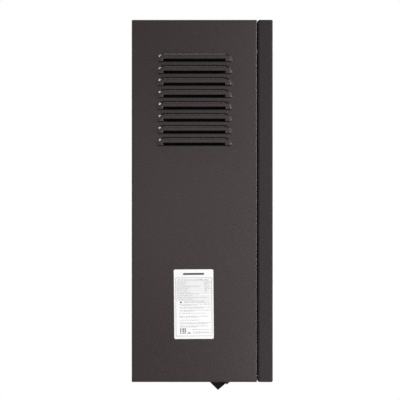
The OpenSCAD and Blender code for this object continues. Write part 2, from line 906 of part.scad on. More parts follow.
// Two bands that hold the jacket and the tank against the channel
module tank_straps() {
    color(steel) for (z = strap_z) {
        at_tank(z - strap_w / 2) ring(jacket_r + strap_t, jacket_r, strap_w);
        for (y = [-lug / 2, 0]) at_tank(z - strap_w / 2) translate([jacket_r, y, 0])
            cube([lug, 2 * strap_t, strap_w]);
    }
}

module heater_flange() {
    color(steel) difference() {
        at_tank(tank_top) cylinder(r = heater_flange_r, h = heater_flange_t);
        at_bolts(tank_top - cut) cylinder(r = heater_bolt_r + snug, h = heater_flange_t + 2 * cut);
        at_rods(tank_top - cut) cylinder(r = rod_r + rod_clear, h = heater_flange_t + 2 * cut);
    }
}

module heater_bolts() {
    color(black_steel) at_bolts(tank_top - heater_flange_t) {
        translate([0, 0, -nut_t]) cylinder(r = heater_bolt_r, h = 2 * heater_flange_t + nut_t + 1);
        translate([0, 0, 2 * heater_flange_t]) cylinder(r = 1.7 * heater_bolt_r, h = 4, $fn = 6);
        translate([0, 0, -5]) cylinder(r = 1.7 * heater_bolt_r, h = 5, $fn = 6);
    }
}

// Three hairpin rods with a flat terminal on top of each leg
module heater_rods() {
    color("#77797b") {
        at_tank(0) for (i = [0 : 2]) rotate([0, 0, i * 120]) pipe_run([
            [rod_circle, hairpin_half, rod_top],
            [rod_circle, hairpin_half, tank_top - rod_len],
            [rod_circle, -hairpin_half, tank_top - rod_len],
            [rod_circle, -hairpin_half, rod_top]
        ], rod_r, hairpin_half - 1);
        at_rods(rod_top) translate([-3.2, -0.4, -2]) cube([6.4, 0.8, blade_h + 2]);
    }
}

module heater_insulators() {
    color("ivory") at_rods(tank_top + heater_flange_t) ring(insulator_r, rod_r + rod_clear, insulator_h - 2);
}

// Expansion vessel

// Flat round vessel drawn in by t from its outside
module vessel_form(t) {
    dish_r = (vessel_r * vessel_r + vessel_bulge * vessel_bulge) / (2 * vessel_bulge);
    middle = dish_r - vessel_t / 2;
    face_front([vessel_x, vessel_y, vessel_z]) rotate_extrude() intersection() {
        translate([0, -vessel_t / 2]) square([vessel_r - t, vessel_t]);
        translate([0, -middle]) circle(dish_r - t, $fn = 360);
        translate([0, middle]) circle(dish_r - t, $fn = 360);
    }
}

module expansion_vessel() {
    color("#3c3f43") difference() {
        union() {
            vessel_form(0);
            face_front([vessel_x, vessel_y + rim_w / 2, vessel_z])
                cylinder(r = vessel_r + rim_out, h = rim_w);
            translate([vessel_x, vessel_y, vessel_z - vessel_r - 12]) cylinder(r = hose_r, h = 20);
        }
        vessel_form(vessel_wall);
        translate([vessel_x, vessel_y, vessel_z - vessel_r - 13]) cylinder(r = hose_r - 2, h = 30);
    }
}

// Three clips that hold the rolled rim to the back panel
module vessel_clips() {
    rim_r = vessel_r + rim_out + slip;
    rim_front = vessel_y - rim_w / 2 - slip;
    color(zinc) for (a = [35, 145, 215]) translate([vessel_x, 0, vessel_z]) rotate([0, -a, 0]) {
        block([rim_r, rim_front - 2, -9], [rim_r + 2, y_back, 9]);
        block([vessel_r + 1, rim_front - 2, -9], [rim_r + 2, rim_front, 9]);
        block([rim_r, y_back - 2, -9], [rim_r + 12, y_back, 9]);
    }
}

module vessel_hose() {
    start = [vessel_x, line_y, vessel_z - vessel_r - 12];
    color("#8d9093") pipe_run([
        start,
        [vessel_x, line_y, hose_z],
        [return_x - manifold_r - branch_len, line_y, hose_z]
    ], hose_r, hose_bend);
}

// Circulation pump

module pump_body() {
    color("#3b3e42") difference() {
        union() {
            face_front([return_x, line_y + volute_d / 2, pump_z]) cylinder(r = volute_r, h = volute_d);
            translate([return_x, line_y, pump_in_z]) cylinder(r = joint_r, h = pump_span);
        }
        face_front([return_x, line_y + volute_d / 2 - 6, pump_z]) cylinder(r = impeller_r + 4, h = volute_d);
        translate([return_x, line_y, pump_in_z - cut]) cylinder(r = pipe_r, h = pump_span + 2 * cut);
    }
}

module pump_motor() {
    color("#2c3e50") difference() {
        union() {
            face_front([return_x, volute_front, pump_z]) cylinder(r = motor_r, h = motor_len);
            face_front([return_x, volute_front, pump_z]) cylinder(r = volute_r + 5, h = 7);
        }
        face_front([return_x, volute_front + cut, pump_z]) cylinder(r = shaft_r + slip, h = 10);
        face_front([return_x, volute_front - 6, pump_z]) cylinder(r = rotor_r + 1, h = motor_len - 12);
    }
}

module pump_terminal_box() {
    color(black_plastic) difference() {
        translate([pump_box_x, volute_front - 12 - pump_box.y, pump_z - pump_box.z / 2]) cube(pump_box);
        face_front([return_x, volute_front + cut, pump_z])
            cylinder(r = motor_r + snug, h = motor_len + 2 * cut);
    }
}

// Impeller, shaft and rotor turn as one
module pump_rotor() {
    back = line_y + volute_d / 2 - 7;
    color(steel) {
        face_front([return_x, back, pump_z]) cylinder(r = shaft_r, h = volute_d + motor_len - 18);
        face_front([return_x, line_y + impeller_t / 2, pump_z]) cylinder(r = impeller_r, h = impeller_t);
        face_front([return_x, volute_front - 9, pump_z]) cylinder(r = rotor_r, h = motor_len - 18);
    }
}

module pump_speed_knob() {
    at = [pump_box_x + 11, volute_front - 12 - pump_box.y - slip, pump_z];
    color("#d8d8d4") {
        face_front(at) cylinder(r = speed_knob_r, h = 3);
        face_front(at - [0, 3, 0]) linear_extrude(5) square([3.4, 2 * speed_knob_r - 2], center = true);
    }
}

// Pipework

// Union nuts at the pump's two joints and lock nuts under the bottom panel
module pipe_nuts() {
    color(brass) {
        for (z = [pump_in_z, pump_out_z]) translate([return_x, line_y, z - union_h / 2])
            hex_ring(joint_r + 6, joint_r + snug, union_h);
        for (x = [flow_x, return_x]) translate([x, line_y, z_under - nut_t])
            hex_ring(thread_r + 5, thread_r + snug, nut_t);
        translate([-gland_x, line_y, z_plate]) hex_ring(gland_r + 4, gland_r + snug, nut_t);
    }
}

module pipe_connectors() {
    neck = z_under - nut_t;
    color(brass) for (x = [flow_x, return_x]) difference() {
        union() {
            translate([x, line_y, tail_z]) cylinder(r = thread_r, h = neck - tail_z);
            translate([x, line_y, neck - cut]) cylinder(r = thread_r - 0.3, h = connector_top - neck + cut);
            translate([x, line_y, z_plate]) cylinder(r = thread_r + 5, h = hex_t, $fn = 6);
        }
        translate([x, line_y, tail_z - cut])
            cylinder(r = connector_bore_r, h = connector_top - tail_z + 2 * cut);
    }
}

module return_manifold() {
    top = pump_in_z - union_h / 2;
    branch = manifold_r + branch_len;
    at = [return_x, line_y, 0];
    color(brass) difference() {
        union() {
            translate(at + [0, 0, connector_top]) cylinder(r = manifold_r, h = top - connector_top);
            translate(at + [0, 0, top]) cylinder(r = joint_r, h = union_h / 2);
            leg(at + [0, 0, hose_z], at + [-branch, 0, hose_z], hose_r + 2, 0);
            leg(at + [0, 0, drain_z], at + [-branch, 0, drain_z], drain_r, 0);
            leg(at + [0, 0, safety_z], at + [0, -branch, safety_z], safety_r - 2, 0);
            leg(at + [0, 0, hose_z], at + [branch, 0, hose_z], 5, 0);
        }
        translate(at + [0, 0, connector_top - cut])
            cylinder(r = pipe_r, h = pump_in_z - connector_top + 2 * cut);
    }
}

module pump_pipe() {
    turn_z = inlet_z;
    color(copper) {
        pipe_run([
            [return_x, line_y, pump_out_z],
            [return_x, line_y, turn_z],
            [return_x, inlet_y, turn_z],
            [nozzle_x, inlet_y, turn_z]
        ], pipe_r, pipe_bend, pipe_wall);
        translate([return_x, line_y, pump_out_z]) ring(joint_r, pipe_r - pipe_wall / 2, union_h / 2);
    }
}

// Joins the tank's outlet, the riser and the air vent
module flow_tee() {
    at = [riser_x, outlet_y, outlet_z];
    color(brass) difference() {
        union() {
            leg([nozzle_x, outlet_y, outlet_z], at, tee_r, 0);
            translate(at - [0, 0, tee_half]) cylinder(r = tee_r, h = 2 * tee_half);
        }
        leg([nozzle_x - cut, outlet_y, outlet_z], at, pipe_r - pipe_wall, 0);
        translate(at - [0, 0, tee_half + cut]) cylinder(r = pipe_r - pipe_wall, h = 2 * tee_half);
    }
}

module flow_pipe() {
    color(copper) pipe_run([
        [riser_x, outlet_y, outlet_z - tee_half],
        [riser_x, outlet_y, flow_turn_z],
        [riser_x, line_y, flow_turn_z],
        [flow_x, line_y, flow_turn_z],
        [flow_x, line_y, connector_top]
    ], pipe_r, pipe_bend, pipe_wall);
}

module air_vent() {
    at = [riser_x, outlet_y, outlet_z + tee_half];
    color(brass) {
        translate(at) cylinder(r = 7, h = 8);
        translate(at + [0, 0, 6]) cylinder(r = vent_r, h = vent_h - 12);
        translate(at + [0, 0, vent_h - 6]) cylinder(r = vent_r - 4, h = 6);
        translate(at + [vent_r - 6, 0, vent_h - 7]) cylinder(r = 2.6, h = 10);
    }
}

// Valves

module safety_valve() {
    color(brass) {
        face_front([return_x, safety_back, safety_z]) cylinder(r = safety_r, h = safety_len);
        face_front([return_x, safety_back, safety_z]) cylinder(r = safety_r + 3, h = 7, $fn = 6);
        translate([return_x, relief_y, tail_z]) cylinder(r = relief_r, h = z_under - 4 - tail_z);
        translate([return_x, relief_y, z_under - 4 - cut])
            cylinder(r = relief_r - 0.4, h = safety_z - z_under + 4 + cut);
    }
}

module safety_valve_knob() {
    color("#c8342c") face_front([return_x, safety_front - slip, safety_z]) difference() {
        cylinder(r = safety_knob_r, h = safety_knob_len);
        for (i = [0 : 5]) rotate([0, 0, 60 * i]) translate([safety_knob_r + 2.2, 0, 5])
            cylinder(r = 4, h = safety_knob_len);
    }
}

module drain_valve() {
    color(brass) {
        leg([drain_x, line_y, drain_z], [drain_x - drain_len, line_y, drain_z], drain_r, 0);
        translate([drain_spout_x, line_y, tail_z]) cylinder(r = hose_tail_r, h = hose_tail_len);
        translate([drain_spout_x, line_y, tail_z + hose_tail_len - cut])
            cylinder(r = hose_tail_r - slip, h = drain_z - tail_z - hose_tail_len + cut);
        face_front([lever_x, line_y, drain_z]) cylinder(r = 4, h = line_y - lever_y - slip);
    }
}

module drain_lever() {
    color("#2b4a86") face_front([lever_x, lever_y, drain_z]) linear_extrude(lever_t) {
        circle(7);
        translate([-5, 0]) square([10, lever_len - 5]);
        translate([0, lever_len - 5]) circle(5);
    }
}

// Electronics

// Standoff positions, measured from the middle of the control board
module at_standoffs(y) {
    for (x = [-1, 1], z = [-1, 1])
        face_front([board_x + x * (board_w / 2 - 6), y, board_z + z * (board_h / 2 - 6)]) children();
}

module electronics_plate() {
    color(zinc) {
        translate([plate_x, y_plate, plate_z]) rotate([90, 0, 0])
            tray(plate_w, plate_h, tray_lip, sheet, fold_r);
        at_standoffs(y_plate - sheet) cylinder(r = 3, h = standoff_h);
    }
}

// Circuit board with its transformer, connectors and capacitors
module control_board() {
    low = board_z - board_h / 2;
    color("#1f5b34") {
        face_front([board_x, y_board, board_z]) linear_extrude(board_t) rounded_rect(board_w, board_h, 3);
        face_front([board_x - board_w / 2 + 34, y_board, low + 46])
            linear_extrude(transformer.z) square([transformer.x, transformer.y], center = true);
        for (i = [0 : 3]) face_front([board_x - 4 + socket_pitch * i, y_board, low + 10])
            linear_extrude(socket.z) square([socket.x, socket.y], center = true);
        for (i = [0 : 2]) face_front([board_x + 14 + capacitor_pitch * i, y_board, low + 46])
            cylinder(r = 6.5, h = 22);
        face_front([board_x + 30, y_board, low + 84])
            linear_extrude(chip.z) square([chip.x, chip.y], center = true);
    }
}

function relay_at(i, row) = [
    board_x + (i - (relay_count - 1) / 2) * relay_pitch,
    y_board - board_t,
    relay_z - row * (relay.z + 5)
];

module power_relays() {
    color("#1f4f9a") for (i = [0 : relay_count - 1], row = [0, 1])
        face_front(relay_at(i, row)) linear_extrude(relay.y) square([relay.x, relay.z], center = true);
}

// Mains terminals: one slot and one screw well for each pole
module terminal_block() {
    width = pole_count * pole_w;
    color("#d9d6c8") face_front([board_x + 24, y_plate - sheet, block_z]) difference() {
        translate([-width / 2, -block_h / 2, 0]) cube([width, block_h, block_d]);
        for (i = [0 : pole_count - 1]) translate([(i + 0.5) * pole_w - width / 2, 0, 0]) {
            translate([0, 3, block_d - 6]) cylinder(r = 3.4, h = 7);
            translate([-3.5, -block_h / 2 - cut, 5]) cube([7, 9, 8]);
        }
    }
}

// Limit thermostat with its capillary tube, whose sleeve meets the tank's jacket
module limit_thermostat() {
    body = [thermostat_x, y_plate - sheet, block_z];
    tube_y = body.y - thermostat.z + 5;
    sleeve_r = 3;
    drop = tank_y - tube_y - sleeve_r;
    jacket_x = tank_x + sqrt(jacket_r * jacket_r - drop * drop) + slip;
    turn_x = plate_left - 12;
    color(black_plastic) face_front(body) difference() {
        union() {
            translate([-thermostat.x / 2, -thermostat.y / 2, 0]) cube(thermostat);
            cylinder(r = 6, h = thermostat.z + 7);
        }
        translate([0, 0, thermostat.z - 4]) cylinder(r = reset_r + slip, h = 12);
    }
    color(copper) {
        pipe_run([
            [body.x - thermostat.x / 2 - cut / 2, tube_y, block_z],
            [turn_x, tube_y, block_z],
            [turn_x, tube_y, block_z + 50],
            [jacket_x + 2, tube_y, block_z + 50]
        ], 1.1, 7);
        leg([jacket_x, tube_y, block_z + 50], [jacket_x + 14, tube_y, block_z + 50], sleeve_r, 0);
    }
}

module reset_button() {
    color("#c8342c") face_front([thermostat_x, y_plate - sheet, block_z])
        translate([0, 0, thermostat.z - 4 + reset_travel + slip]) cylinder(r = reset_r, h = 12);
}

// A wire from each upper relay to one leg of a hairpin, and the bar that links the other three legs
module heater_wires() {
    relay_top = relay_z + relay.z / 2;
    sleeve = wire_r + 1.4;
    color("#7a2c22") for (i = [0 : 2]) {
        start = [
            tank_x + rod_circle * cos(120 * i) + hairpin_half * sin(120 * i),
            tank_y + rod_circle * sin(120 * i) - hairpin_half * cos(120 * i),
            rod_top + blade_h + slip
        ];
        end = relay_at(min(i, relay_count - 1), 0) - [i < relay_count ? 0 : 4 * wire_r, relay.y / 2, 0];
        run_z = relay_top + 10 + 3 * wire_r * i;
        translate(start) cylinder(r = sleeve, h = 9);
        pipe_run([
            start + [0, 0, 4],
            [start.x, start.y, run_z],
            [start.x, end.y, run_z],
            [end.x, end.y, run_z],
            [end.x, end.y, relay_top + slip]
        ], wire_r, 3 * wire_r);
    }
    color(copper) at_tank(rod_top + blade_h + slip) linear_extrude(1.5) {
        circle(8);
        for (i = [0 : 2]) rotate([0, 0, i * 120 + atan2(hairpin_half, rod_circle)])
            translate([0, -3]) square([norm([rod_circle, hairpin_half]) + 3, 6]);
    }
}

// Cable gland: dome nut below the panel, threaded barrel through it
module cable_gland() {
    low = z_under - 20;
    high = z_plate + nut_t + 4;
    color(black_plastic) translate([-gland_x, line_y, 0]) difference() {
        union() {
            translate([0, 0, low + 5]) cylinder(r = gland_r + 5, h = 15, $fn = 6);
            translate([0, 0, low]) cylinder(r1 = gland_r, r2 = gland_r + 3, h = 6);
            translate([0, 0, z_under - cut]) cylinder(r = gland_r, h = high - z_under + cut);
        }
        translate([0, 0, low - cut]) cylinder(r = gland_bore_r, h = high - low + 2 * cut);
    }
}

// Service pod under the casing

// Cross-section from its lower edge, with the front towards -X
module pod_outline(grow_up) {
    translate([0, grow_up]) polygon([
        [0, 0],
        [-pod_h * tan(pod_face), pod_h],
        [pod_h * tan(pod_rear), pod_h]
    ]);
}

// Child's Z turned out of the pod's front face, v above its lower edge, with its Y up the face
module on_pod_face(x, v) {
    translate(pod_tip + [x, -v * sin(pod_face), v * cos(pod_face)]) rotate([90 + pod_face, 0, 0]) children();
}

module pod_opening() {
    reach = pod_h - 6;
    block([-pod_w / 2 + 8, -pod_d - reach * tan(pod_face), z_under - cut],
        [pod_w / 2 - 8, -pod_d + reach * tan(pod_rear), z_plate + cut]);
}

module switch_pod() {
    color(black_plastic) difference() {
        translate(pod_tip - [pod_w / 2, 0, 0]) rotate([90, 0, 90]) linear_extrude(pod_w) pod_outline(0);
        translate(pod_tip - [pod_w / 2 - pod_wall, 0, 0]) rotate([90, 0, 90])
            linear_extrude(pod_w - 2 * pod_wall) pod_outline(pod_wall / sin(pod_rear));
        on_pod_face(-gauge_x, pod_station) translate([0, 0, -8]) cylinder(r = gauge_r + slip, h = 10);
        on_pod_face(rocker_x, pod_station) translate([0, 0, -3])
            cube([rocker_w + 4.6, 2 * rocker_reach + 3.6, 14], center = true);
    }
}

module rocker_frame() {
    inner = [rocker_w + 2 * slip, 2 * rocker_reach];
    color(black_plastic) on_pod_face(rocker_x, pod_station) difference() {
        union() {
            linear_extrude(2) rounded_rect(inner.x + 7, inner.y + 6, 1.5);
            translate([0, 0, -switch_d / 2]) cube([inner.x + 3, inner.y + 3, switch_d], center = true);
        }
        translate([0, 0, -rocker_deep - 2]) linear_extrude(rocker_deep + 5) square(inner, center = true);
        rotate([0, 90, 0]) cylinder(r = pivot_r + snug, h = inner.x + 2.2, center = true);
    }
}

// Rocker with its upper end out, which is how the photograph's pod would show it switched off
module rocker() {
    color("#0c0d0e") on_pod_face(rocker_x, pod_station) rotate([rocker_tilt, 0, 0]) {
        translate([-rocker_w / 2, 0, 0]) rotate([90, 0, 90]) linear_extrude(rocker_w) polygon([
            [-rocker_half, rocker_high],
            [0, rocker_low],
            [rocker_half, rocker_high],
            [rocker_half - 1, -1],
            [3, 1 - rocker_deep],
            [-3, 1 - rocker_deep],
            [1 - rocker_half, -1]
        ]);
        rotate([0, 90, 0]) cylinder(r = pivot_r, h = rocker_w + 2 * slip + 1.8, center = true);
    }
}

module pressure_gauge() {
    color(gloss_black) on_pod_face(-gauge_x, pod_station) {
        difference() {
            union() {
                translate([0, 0, -gauge_d]) cylinder(r = gauge_r, h = gauge_d);
                cylinder(r = bezel_r, h = bezel_h);
                translate([0, 0, -gauge_d - gauge_port]) cylinder(r = 4, h = gauge_port + 1);
            }
            translate([0, 0, dial_z]) cylinder(r = gauge_r - 2, h = 10);
            translate([0, 0, lens_z]) cylinder(r = gauge_r - 1, h = 10);
        }
        translate([0, 0, dial_z - 1]) cylinder(r = 0.8, h = 3);
    }
}

module gauge_needle() {
    reach = gauge_r - 5;
    color("#c8342c") on_pod_face(-gauge_x, pod_station) translate([0, 0, dial_z + 1]) difference() {
        linear_extrude(0.8) {
            circle(2.2);
            rotate([0, 0, 225]) polygon([[-4, -0.8], [reach, -0.25], [reach, 0.25], [-4, 0.8]]);
        }
        translate([0, 0, -cut]) cylinder(r = 0.8 + snug / 2, h = 3);
    }
}

module gauge_lens() {
    color([0.85, 0.9, 0.92, 0.4]) on_pod_face(-gauge_x, pod_station) translate([0, 0, lens_z])
        cylinder(r = gauge_r - 1 - snug, h = 1.2);
}

// Capillary tube from the manifold's right-hand branch to the back of the gauge
module gauge_tube() {
    back = pod_tip + [-gauge_x, -pod_station * sin(pod_face), pod_station * cos(pod_face)]
        + (gauge_d + gauge_port + cut) * [0, cos(pod_face), sin(pod_face)];
    start = [return_x + manifold_r + branch_len, line_y, hose_z];
    low = z_plate + 16;
    color(copper) pipe_run([
        start,
        start + [12, 0, 0],
        [start.x + 12, back.y, hose_z],
        [start.x + 12, back.y, low],
        [back.x, back.y, low],
        back
    ], 1.2, 6);
}

wall_bracket();
back_panel();
left_side_panel();
right_side_panel();
top_panel();
bottom_panel();
rating_label();
front_cover();
cover_studs();
cover_clips();
control_housing();
control_fascia();
display_lens();
display_board();
button_power();
button_mode();
button_down();
button_up();
heat_tank();
tank_jacket();
tank_frame();
tank_straps();
heater_flange();
heater_bolts();
heater_rods();
heater_insulators();
expansion_vessel();
vessel_clips();
vessel_hose();
pump_body();
pump_motor();
pump_terminal_box();
pump_rotor();
pump_speed_knob();
pipe_nuts();
return_manifold();
pump_pipe();
flow_tee();
flow_pipe();
pipe_connectors();
safety_valve();
safety_valve_knob();
drain_valve();
drain_lever();
air_vent();
electronics_plate();
control_board();
power_relays();
terminal_block();
limit_thermostat();
reset_button();
cable_gland();
switch_pod();
rocker_frame();
rocker();
pressure_gauge();
gauge_needle();
gauge_lens();
heater_wires();
gauge_tube();
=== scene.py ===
"""Looks, light and camera of a wall-hung electric boiler, around its CAD model.

Everything lies in the CAD model's frame: +Z up, -Y the front, the wall at Y = 0.
Sizes are written in millimetres and turned into Blender's metres by MM; only the floor,
the lamps and the camera are placed in metres. Colours are linear red, green and blue.
"""

import json
import math
import random

import bmesh
import bpy
from mathutils import Matrix, Vector


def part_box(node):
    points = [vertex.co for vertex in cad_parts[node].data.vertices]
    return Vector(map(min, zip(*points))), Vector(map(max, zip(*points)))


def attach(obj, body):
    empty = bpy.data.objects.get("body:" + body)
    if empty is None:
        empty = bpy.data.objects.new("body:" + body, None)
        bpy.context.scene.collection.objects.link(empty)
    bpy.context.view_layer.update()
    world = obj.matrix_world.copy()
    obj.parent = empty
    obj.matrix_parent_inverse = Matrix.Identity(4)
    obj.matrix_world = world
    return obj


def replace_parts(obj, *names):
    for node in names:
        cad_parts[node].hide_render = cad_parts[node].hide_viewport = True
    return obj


MM = 0.001

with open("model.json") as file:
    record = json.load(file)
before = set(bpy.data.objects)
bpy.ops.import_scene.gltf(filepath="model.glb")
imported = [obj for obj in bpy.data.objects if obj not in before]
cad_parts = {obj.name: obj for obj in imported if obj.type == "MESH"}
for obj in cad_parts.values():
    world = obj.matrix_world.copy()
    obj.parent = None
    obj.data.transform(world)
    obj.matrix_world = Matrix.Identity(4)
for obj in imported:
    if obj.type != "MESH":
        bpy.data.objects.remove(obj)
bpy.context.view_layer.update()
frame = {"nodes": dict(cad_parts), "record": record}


# Node materials


class Look:
    """One node material round a Principled shader, its patterns in the object's coordinates."""

    def __init__(self, name, color, roughness, metallic=0.0, specular=0.5):
        self.name = name
        self.material = bpy.data.materials.new(name)
        self.material.use_nodes = True
        self.tree = self.material.node_tree
        self.shader = self.tree.nodes["Principled BSDF"]
        self.color = color
        self.normal = None
        self.place = self.node("ShaderNodeTexCoord").outputs["Object"]
        self.set("Base Color", color)
        self.set("Roughness", roughness)
        self.set("Metallic", metallic)
        self.set("Specular IOR Level", specular)

    def feed(self, socket, value):
        """Links a socket to another one, or gives it a number or a colour."""
        if isinstance(value, bpy.types.NodeSocket):
            self.tree.links.new(value, socket)
        elif socket.type == "RGBA" and len(value) == 3:
            socket.default_value = (*value, 1)
        else:
            socket.default_value = value

    def node(self, kind, inputs=None, **options):
        """A new node, with its properties as options and its sockets fed by name or place."""
        made = self.tree.nodes.new(kind)
        for name, value in options.items():
            setattr(made, name, value)
        for name, value in (inputs or {}).items():
            self.feed(made.inputs[name], value)
        return made

    def set(self, name, value):
        self.feed(self.shader.inputs[name], value)

    def math(self, operation, a, b=0.0):
        return self.node("ShaderNodeMath", {0: a, 1: b}, operation=operation).outputs[0]

    def level(self, value, low, high, to_low=0.0, to_high=1.0):
        """Spreads low to high over to_low to to_high, and holds values beyond them there."""
        ends = {
            "Value": value, "From Min": low, "From Max": high,
            "To Min": to_low, "To Max": to_high,
        }
        return self.node("ShaderNodeMapRange", ends).outputs["Result"]

    def mix(self, share, a, b):
        """Colour a with a share of colour b over it; 6 and 7 are the mix node's colour sockets."""
        return self.node("ShaderNodeMix", {0: share, 6: a, 7: b}, data_type="RGBA").outputs[2]

    def stretched(self, x, y, z):
        inputs = {"Vector": self.place, "Scale": (x, y, z)}
        return self.node("ShaderNodeMapping", inputs).outputs["Vector"]

    def noise(self, size, detail=3.0, place=None):
        """Cloudy values about 0.5, with features of that size in millimetres."""
        inputs = {"Vector": place or self.place, "Scale": 1 / (size * MM), "Detail": detail}
        return self.node("ShaderNodeTexNoise", inputs).outputs["Fac"]

    def cells(self, size, output="Color", feature="F1", place=None, distance="EUCLIDEAN"):
        """Cells about that size in millimetres: a colour for each, or distances within them."""
        inputs = {"Vector": place or self.place, "Scale": 1 / (size * MM)}
        options = {"feature": feature}
        if feature != "DISTANCE_TO_EDGE":
            options["distance"] = distance
        return self.node("ShaderNodeTexVoronoi", inputs, **options).outputs[output]

    def edges(self, radius, share):
        """0 on flat faces, rising to a share within that radius of an edge, in millimetres."""
        blunt = self.node("ShaderNodeBevel", {"Radius": radius * MM}, samples=4).outputs["Normal"]
        normal = self.node("ShaderNodeNewGeometry").outputs["Normal"]
        agree = self.node("ShaderNodeVectorMath", {0: blunt, 1: normal}, operation="DOT_PRODUCT")
        return self.level(agree.outputs["Value"], 0.995, 0.88, 0.0, share)

    def soften(self, radius):
        """Rounds the shading over every fold and crease by that radius, in millimetres."""
        bevel = self.node("ShaderNodeBevel", {"Radius": radius * MM}, samples=16)
        self.normal = bevel.outputs["Normal"]
        self.set("Normal", self.normal)

    def shade(self, *layers):
        """Lays colours over the base colour; each layer is (share, colour)."""
        color = self.color
        for share, over in layers:
            color = self.mix(share, color, over)
        self.set("Base Color", color)

    def gloss(self, value, low, high):
        """Roughness from low to high as value goes from 0.3 to 0.7."""
        self.set("Roughness", self.level(value, 0.3, 0.7, low, high))

    def bump(self, height, depth):
        """Raises the surface by up to depth millimetres."""
        inputs = {"Height": height, "Distance": depth * MM}
        if self.normal:
            inputs["Normal"] = self.normal
        self.normal = self.node("ShaderNodeBump", inputs).outputs["Normal"]
        self.set("Normal", self.normal)


def scaled(color, factor):
    return tuple(min(1.0, c * factor) for c in color)


def paint_look(name="paint", color=(0.0112, 0.0056, 0.0063), specular=0.35, soft=3):
    """Dark powder coat: orange peel, a fine grain and a paler film along the folds."""
    look = Look(name, color, 0.26, specular=specular)
    look.set("Specular Tint", (1.0, 0.92, 0.93))
    cloud = look.noise(90, 2.0)
    grain = look.noise(0.9, 4.0)
    dust = look.level(look.noise(2.6, 5.0), 0.62, 0.72, 0.0, 0.08)
    look.shade(
        (look.level(cloud, 0.35, 0.65, 0.0, 0.6), scaled(look.color, 1.16)),
        (look.level(grain, 0.35, 0.65, 0.0, 0.5), scaled(look.color, 0.72)),
        (dust, (0.10, 0.09, 0.09)),
        (look.edges(1.2, 0.2), (0.075, 0.066, 0.066)),
    )
    look.gloss(look.noise(5, 4.0), 0.24, 0.29)
    look.soften(soft)
    look.bump(look.noise(2.2, 2.0), 0.004)
    look.bump(grain, 0.0015)
    return look


def zinc_look():
    """Galvanised sheet: a spangle of pale and dark crystals under a thin white bloom."""
    look = Look("zinc", (0.46, 0.47, 0.48), 0.42, metallic=0.35)
    haze = look.node("ShaderNodeTexNoise", {"Vector": look.place, "Scale": 90.0})
    terms = {0: look.place, 1: haze.outputs["Color"]}
    wobble = look.node("ShaderNodeVectorMath", terms, operation="ADD").outputs["Vector"]
    warped = look.node("ShaderNodeMix", {0: 0.006, 4: look.place, 5: wobble}, data_type="VECTOR")
    cells = look.cells(9, place=warped.outputs[1])
    crystal = look.node("ShaderNodeSeparateColor", {"Color": cells}).outputs["Red"]
    look.shade(
        (look.level(crystal, 0.0, 1.0, 0.0, 0.7), (0.33, 0.34, 0.36)),
        (look.level(look.noise(40, 4.0), 0.5, 0.75, 0.0, 0.35), (0.58, 0.58, 0.57)),
        (look.edges(0.8, 0.4), (0.62, 0.63, 0.64)),
    )
    look.set("Roughness", look.level(crystal, 0.0, 1.0, 0.34, 0.55))
    look.bump(look.noise(0.7, 2.0), 0.01)
    return look


def steel_look(name="steel", color=(0.58, 0.58, 0.57), low=0.24, high=0.42):
    """Drawn steel: fine lines along Z, faint water marks."""
    look = Look(name, color, 0.3, metallic=1.0)
    lines = look.noise(0.5, 3.0, look.stretched(1, 1, 0.04))
    look.shade(
        (look.level(lines, 0.35, 0.65, 0.0, 0.5), scaled(color, 0.78)),
        (look.level(look.noise(28, 4.0), 0.52, 0.72, 0.0, 0.4), scaled(color, 0.62)),
        (look.edges(0.6, 0.5), scaled(color, 1.3)),
    )
    look.gloss(lines, low, high)
    look.bump(lines, 0.012)
    return look


def warm_metal_look(name, color, stain, low, high):
    """Brass or copper: turned lines, a cloudy tarnish and bright rubbed edges."""
    look = Look(name, color, 0.3, metallic=1.0)
    cloud = look.noise(17, 5.0)
    look.shade(
        (look.level(cloud, 0.45, 0.7, 0.0, 0.65), stain),
        (look.level(look.noise(1.6, 3.0), 0.6, 0.75, 0.0, 0.35), scaled(stain, 0.7)),
        (look.edges(0.6, 0.6), scaled(color, 1.25)),
    )
    look.gloss(cloud, low, high)
    look.bump(look.noise(0.6, 3.0), 0.015)
    return look


def plastic_look(name, color, low, high, grain=0.5, depth=0.02, pale=1.5, specular=0.5):
    """Moulded plastic: fine grain, uneven gloss, edges a little paler."""
    look = Look(name, color, (low + high) / 2, specular=specular)
    look.shade(
        (look.level(look.noise(24, 3.0), 0.4, 0.7, 0.0, 0.5), scaled(color, 0.8)),
        (look.level(look.noise(0.8, 3.0), 0.58, 0.72, 0.0, 0.3), scaled(color, pale)),
        (look.edges(0.4, 0.35), scaled(color, pale * 1.2)),
    )
    look.gloss(look.noise(6, 4.0), low, high)
    look.bump(look.noise(grain, 3.0), depth)
    return look


def glass_look(name, color, roughness):
    """Clear plastic with faint wipe marks in its gloss."""
    look = Look(name, color, roughness)
    look.set("Transmission Weight", 1.0)
    look.set("IOR", 1.49)
    wipes = look.noise(3, 4.0, look.stretched(0.25, 1, 1.6))
    look.set("Roughness", look.level(wipes, 0.45, 0.75, roughness, roughness + 0.08))
    return look


def board_look():
    """Circuit board: solder mask, darker fields, paler tracks and tinned pads."""
    look = Look("board", (0.012, 0.115, 0.045), 0.35)
    flat = look.stretched(1, 0, 1)
    tracks = look.cells(5.5, "Distance", "DISTANCE_TO_EDGE", flat)
    pads = look.cells(3.1, "Distance", place=flat, distance="CHEBYCHEV")
    fields = look.cells(19, "Color", place=flat, distance="CHEBYCHEV")
    red = look.node("ShaderNodeSeparateColor", {"Color": fields}).outputs["Red"]
    look.shade(
        (look.level(red, 0.2, 0.8, 0.0, 0.6), (0.008, 0.07, 0.03)),
        (look.level(tracks, 0.05, 0.035), (0.03, 0.20, 0.08)),
        (look.level(pads, 0.13, 0.11), (0.55, 0.56, 0.54)),
    )
    look.gloss(look.noise(8, 3.0), 0.28, 0.42)
    look.bump(look.level(tracks, 0.08, 0.04), 0.04)
    return look


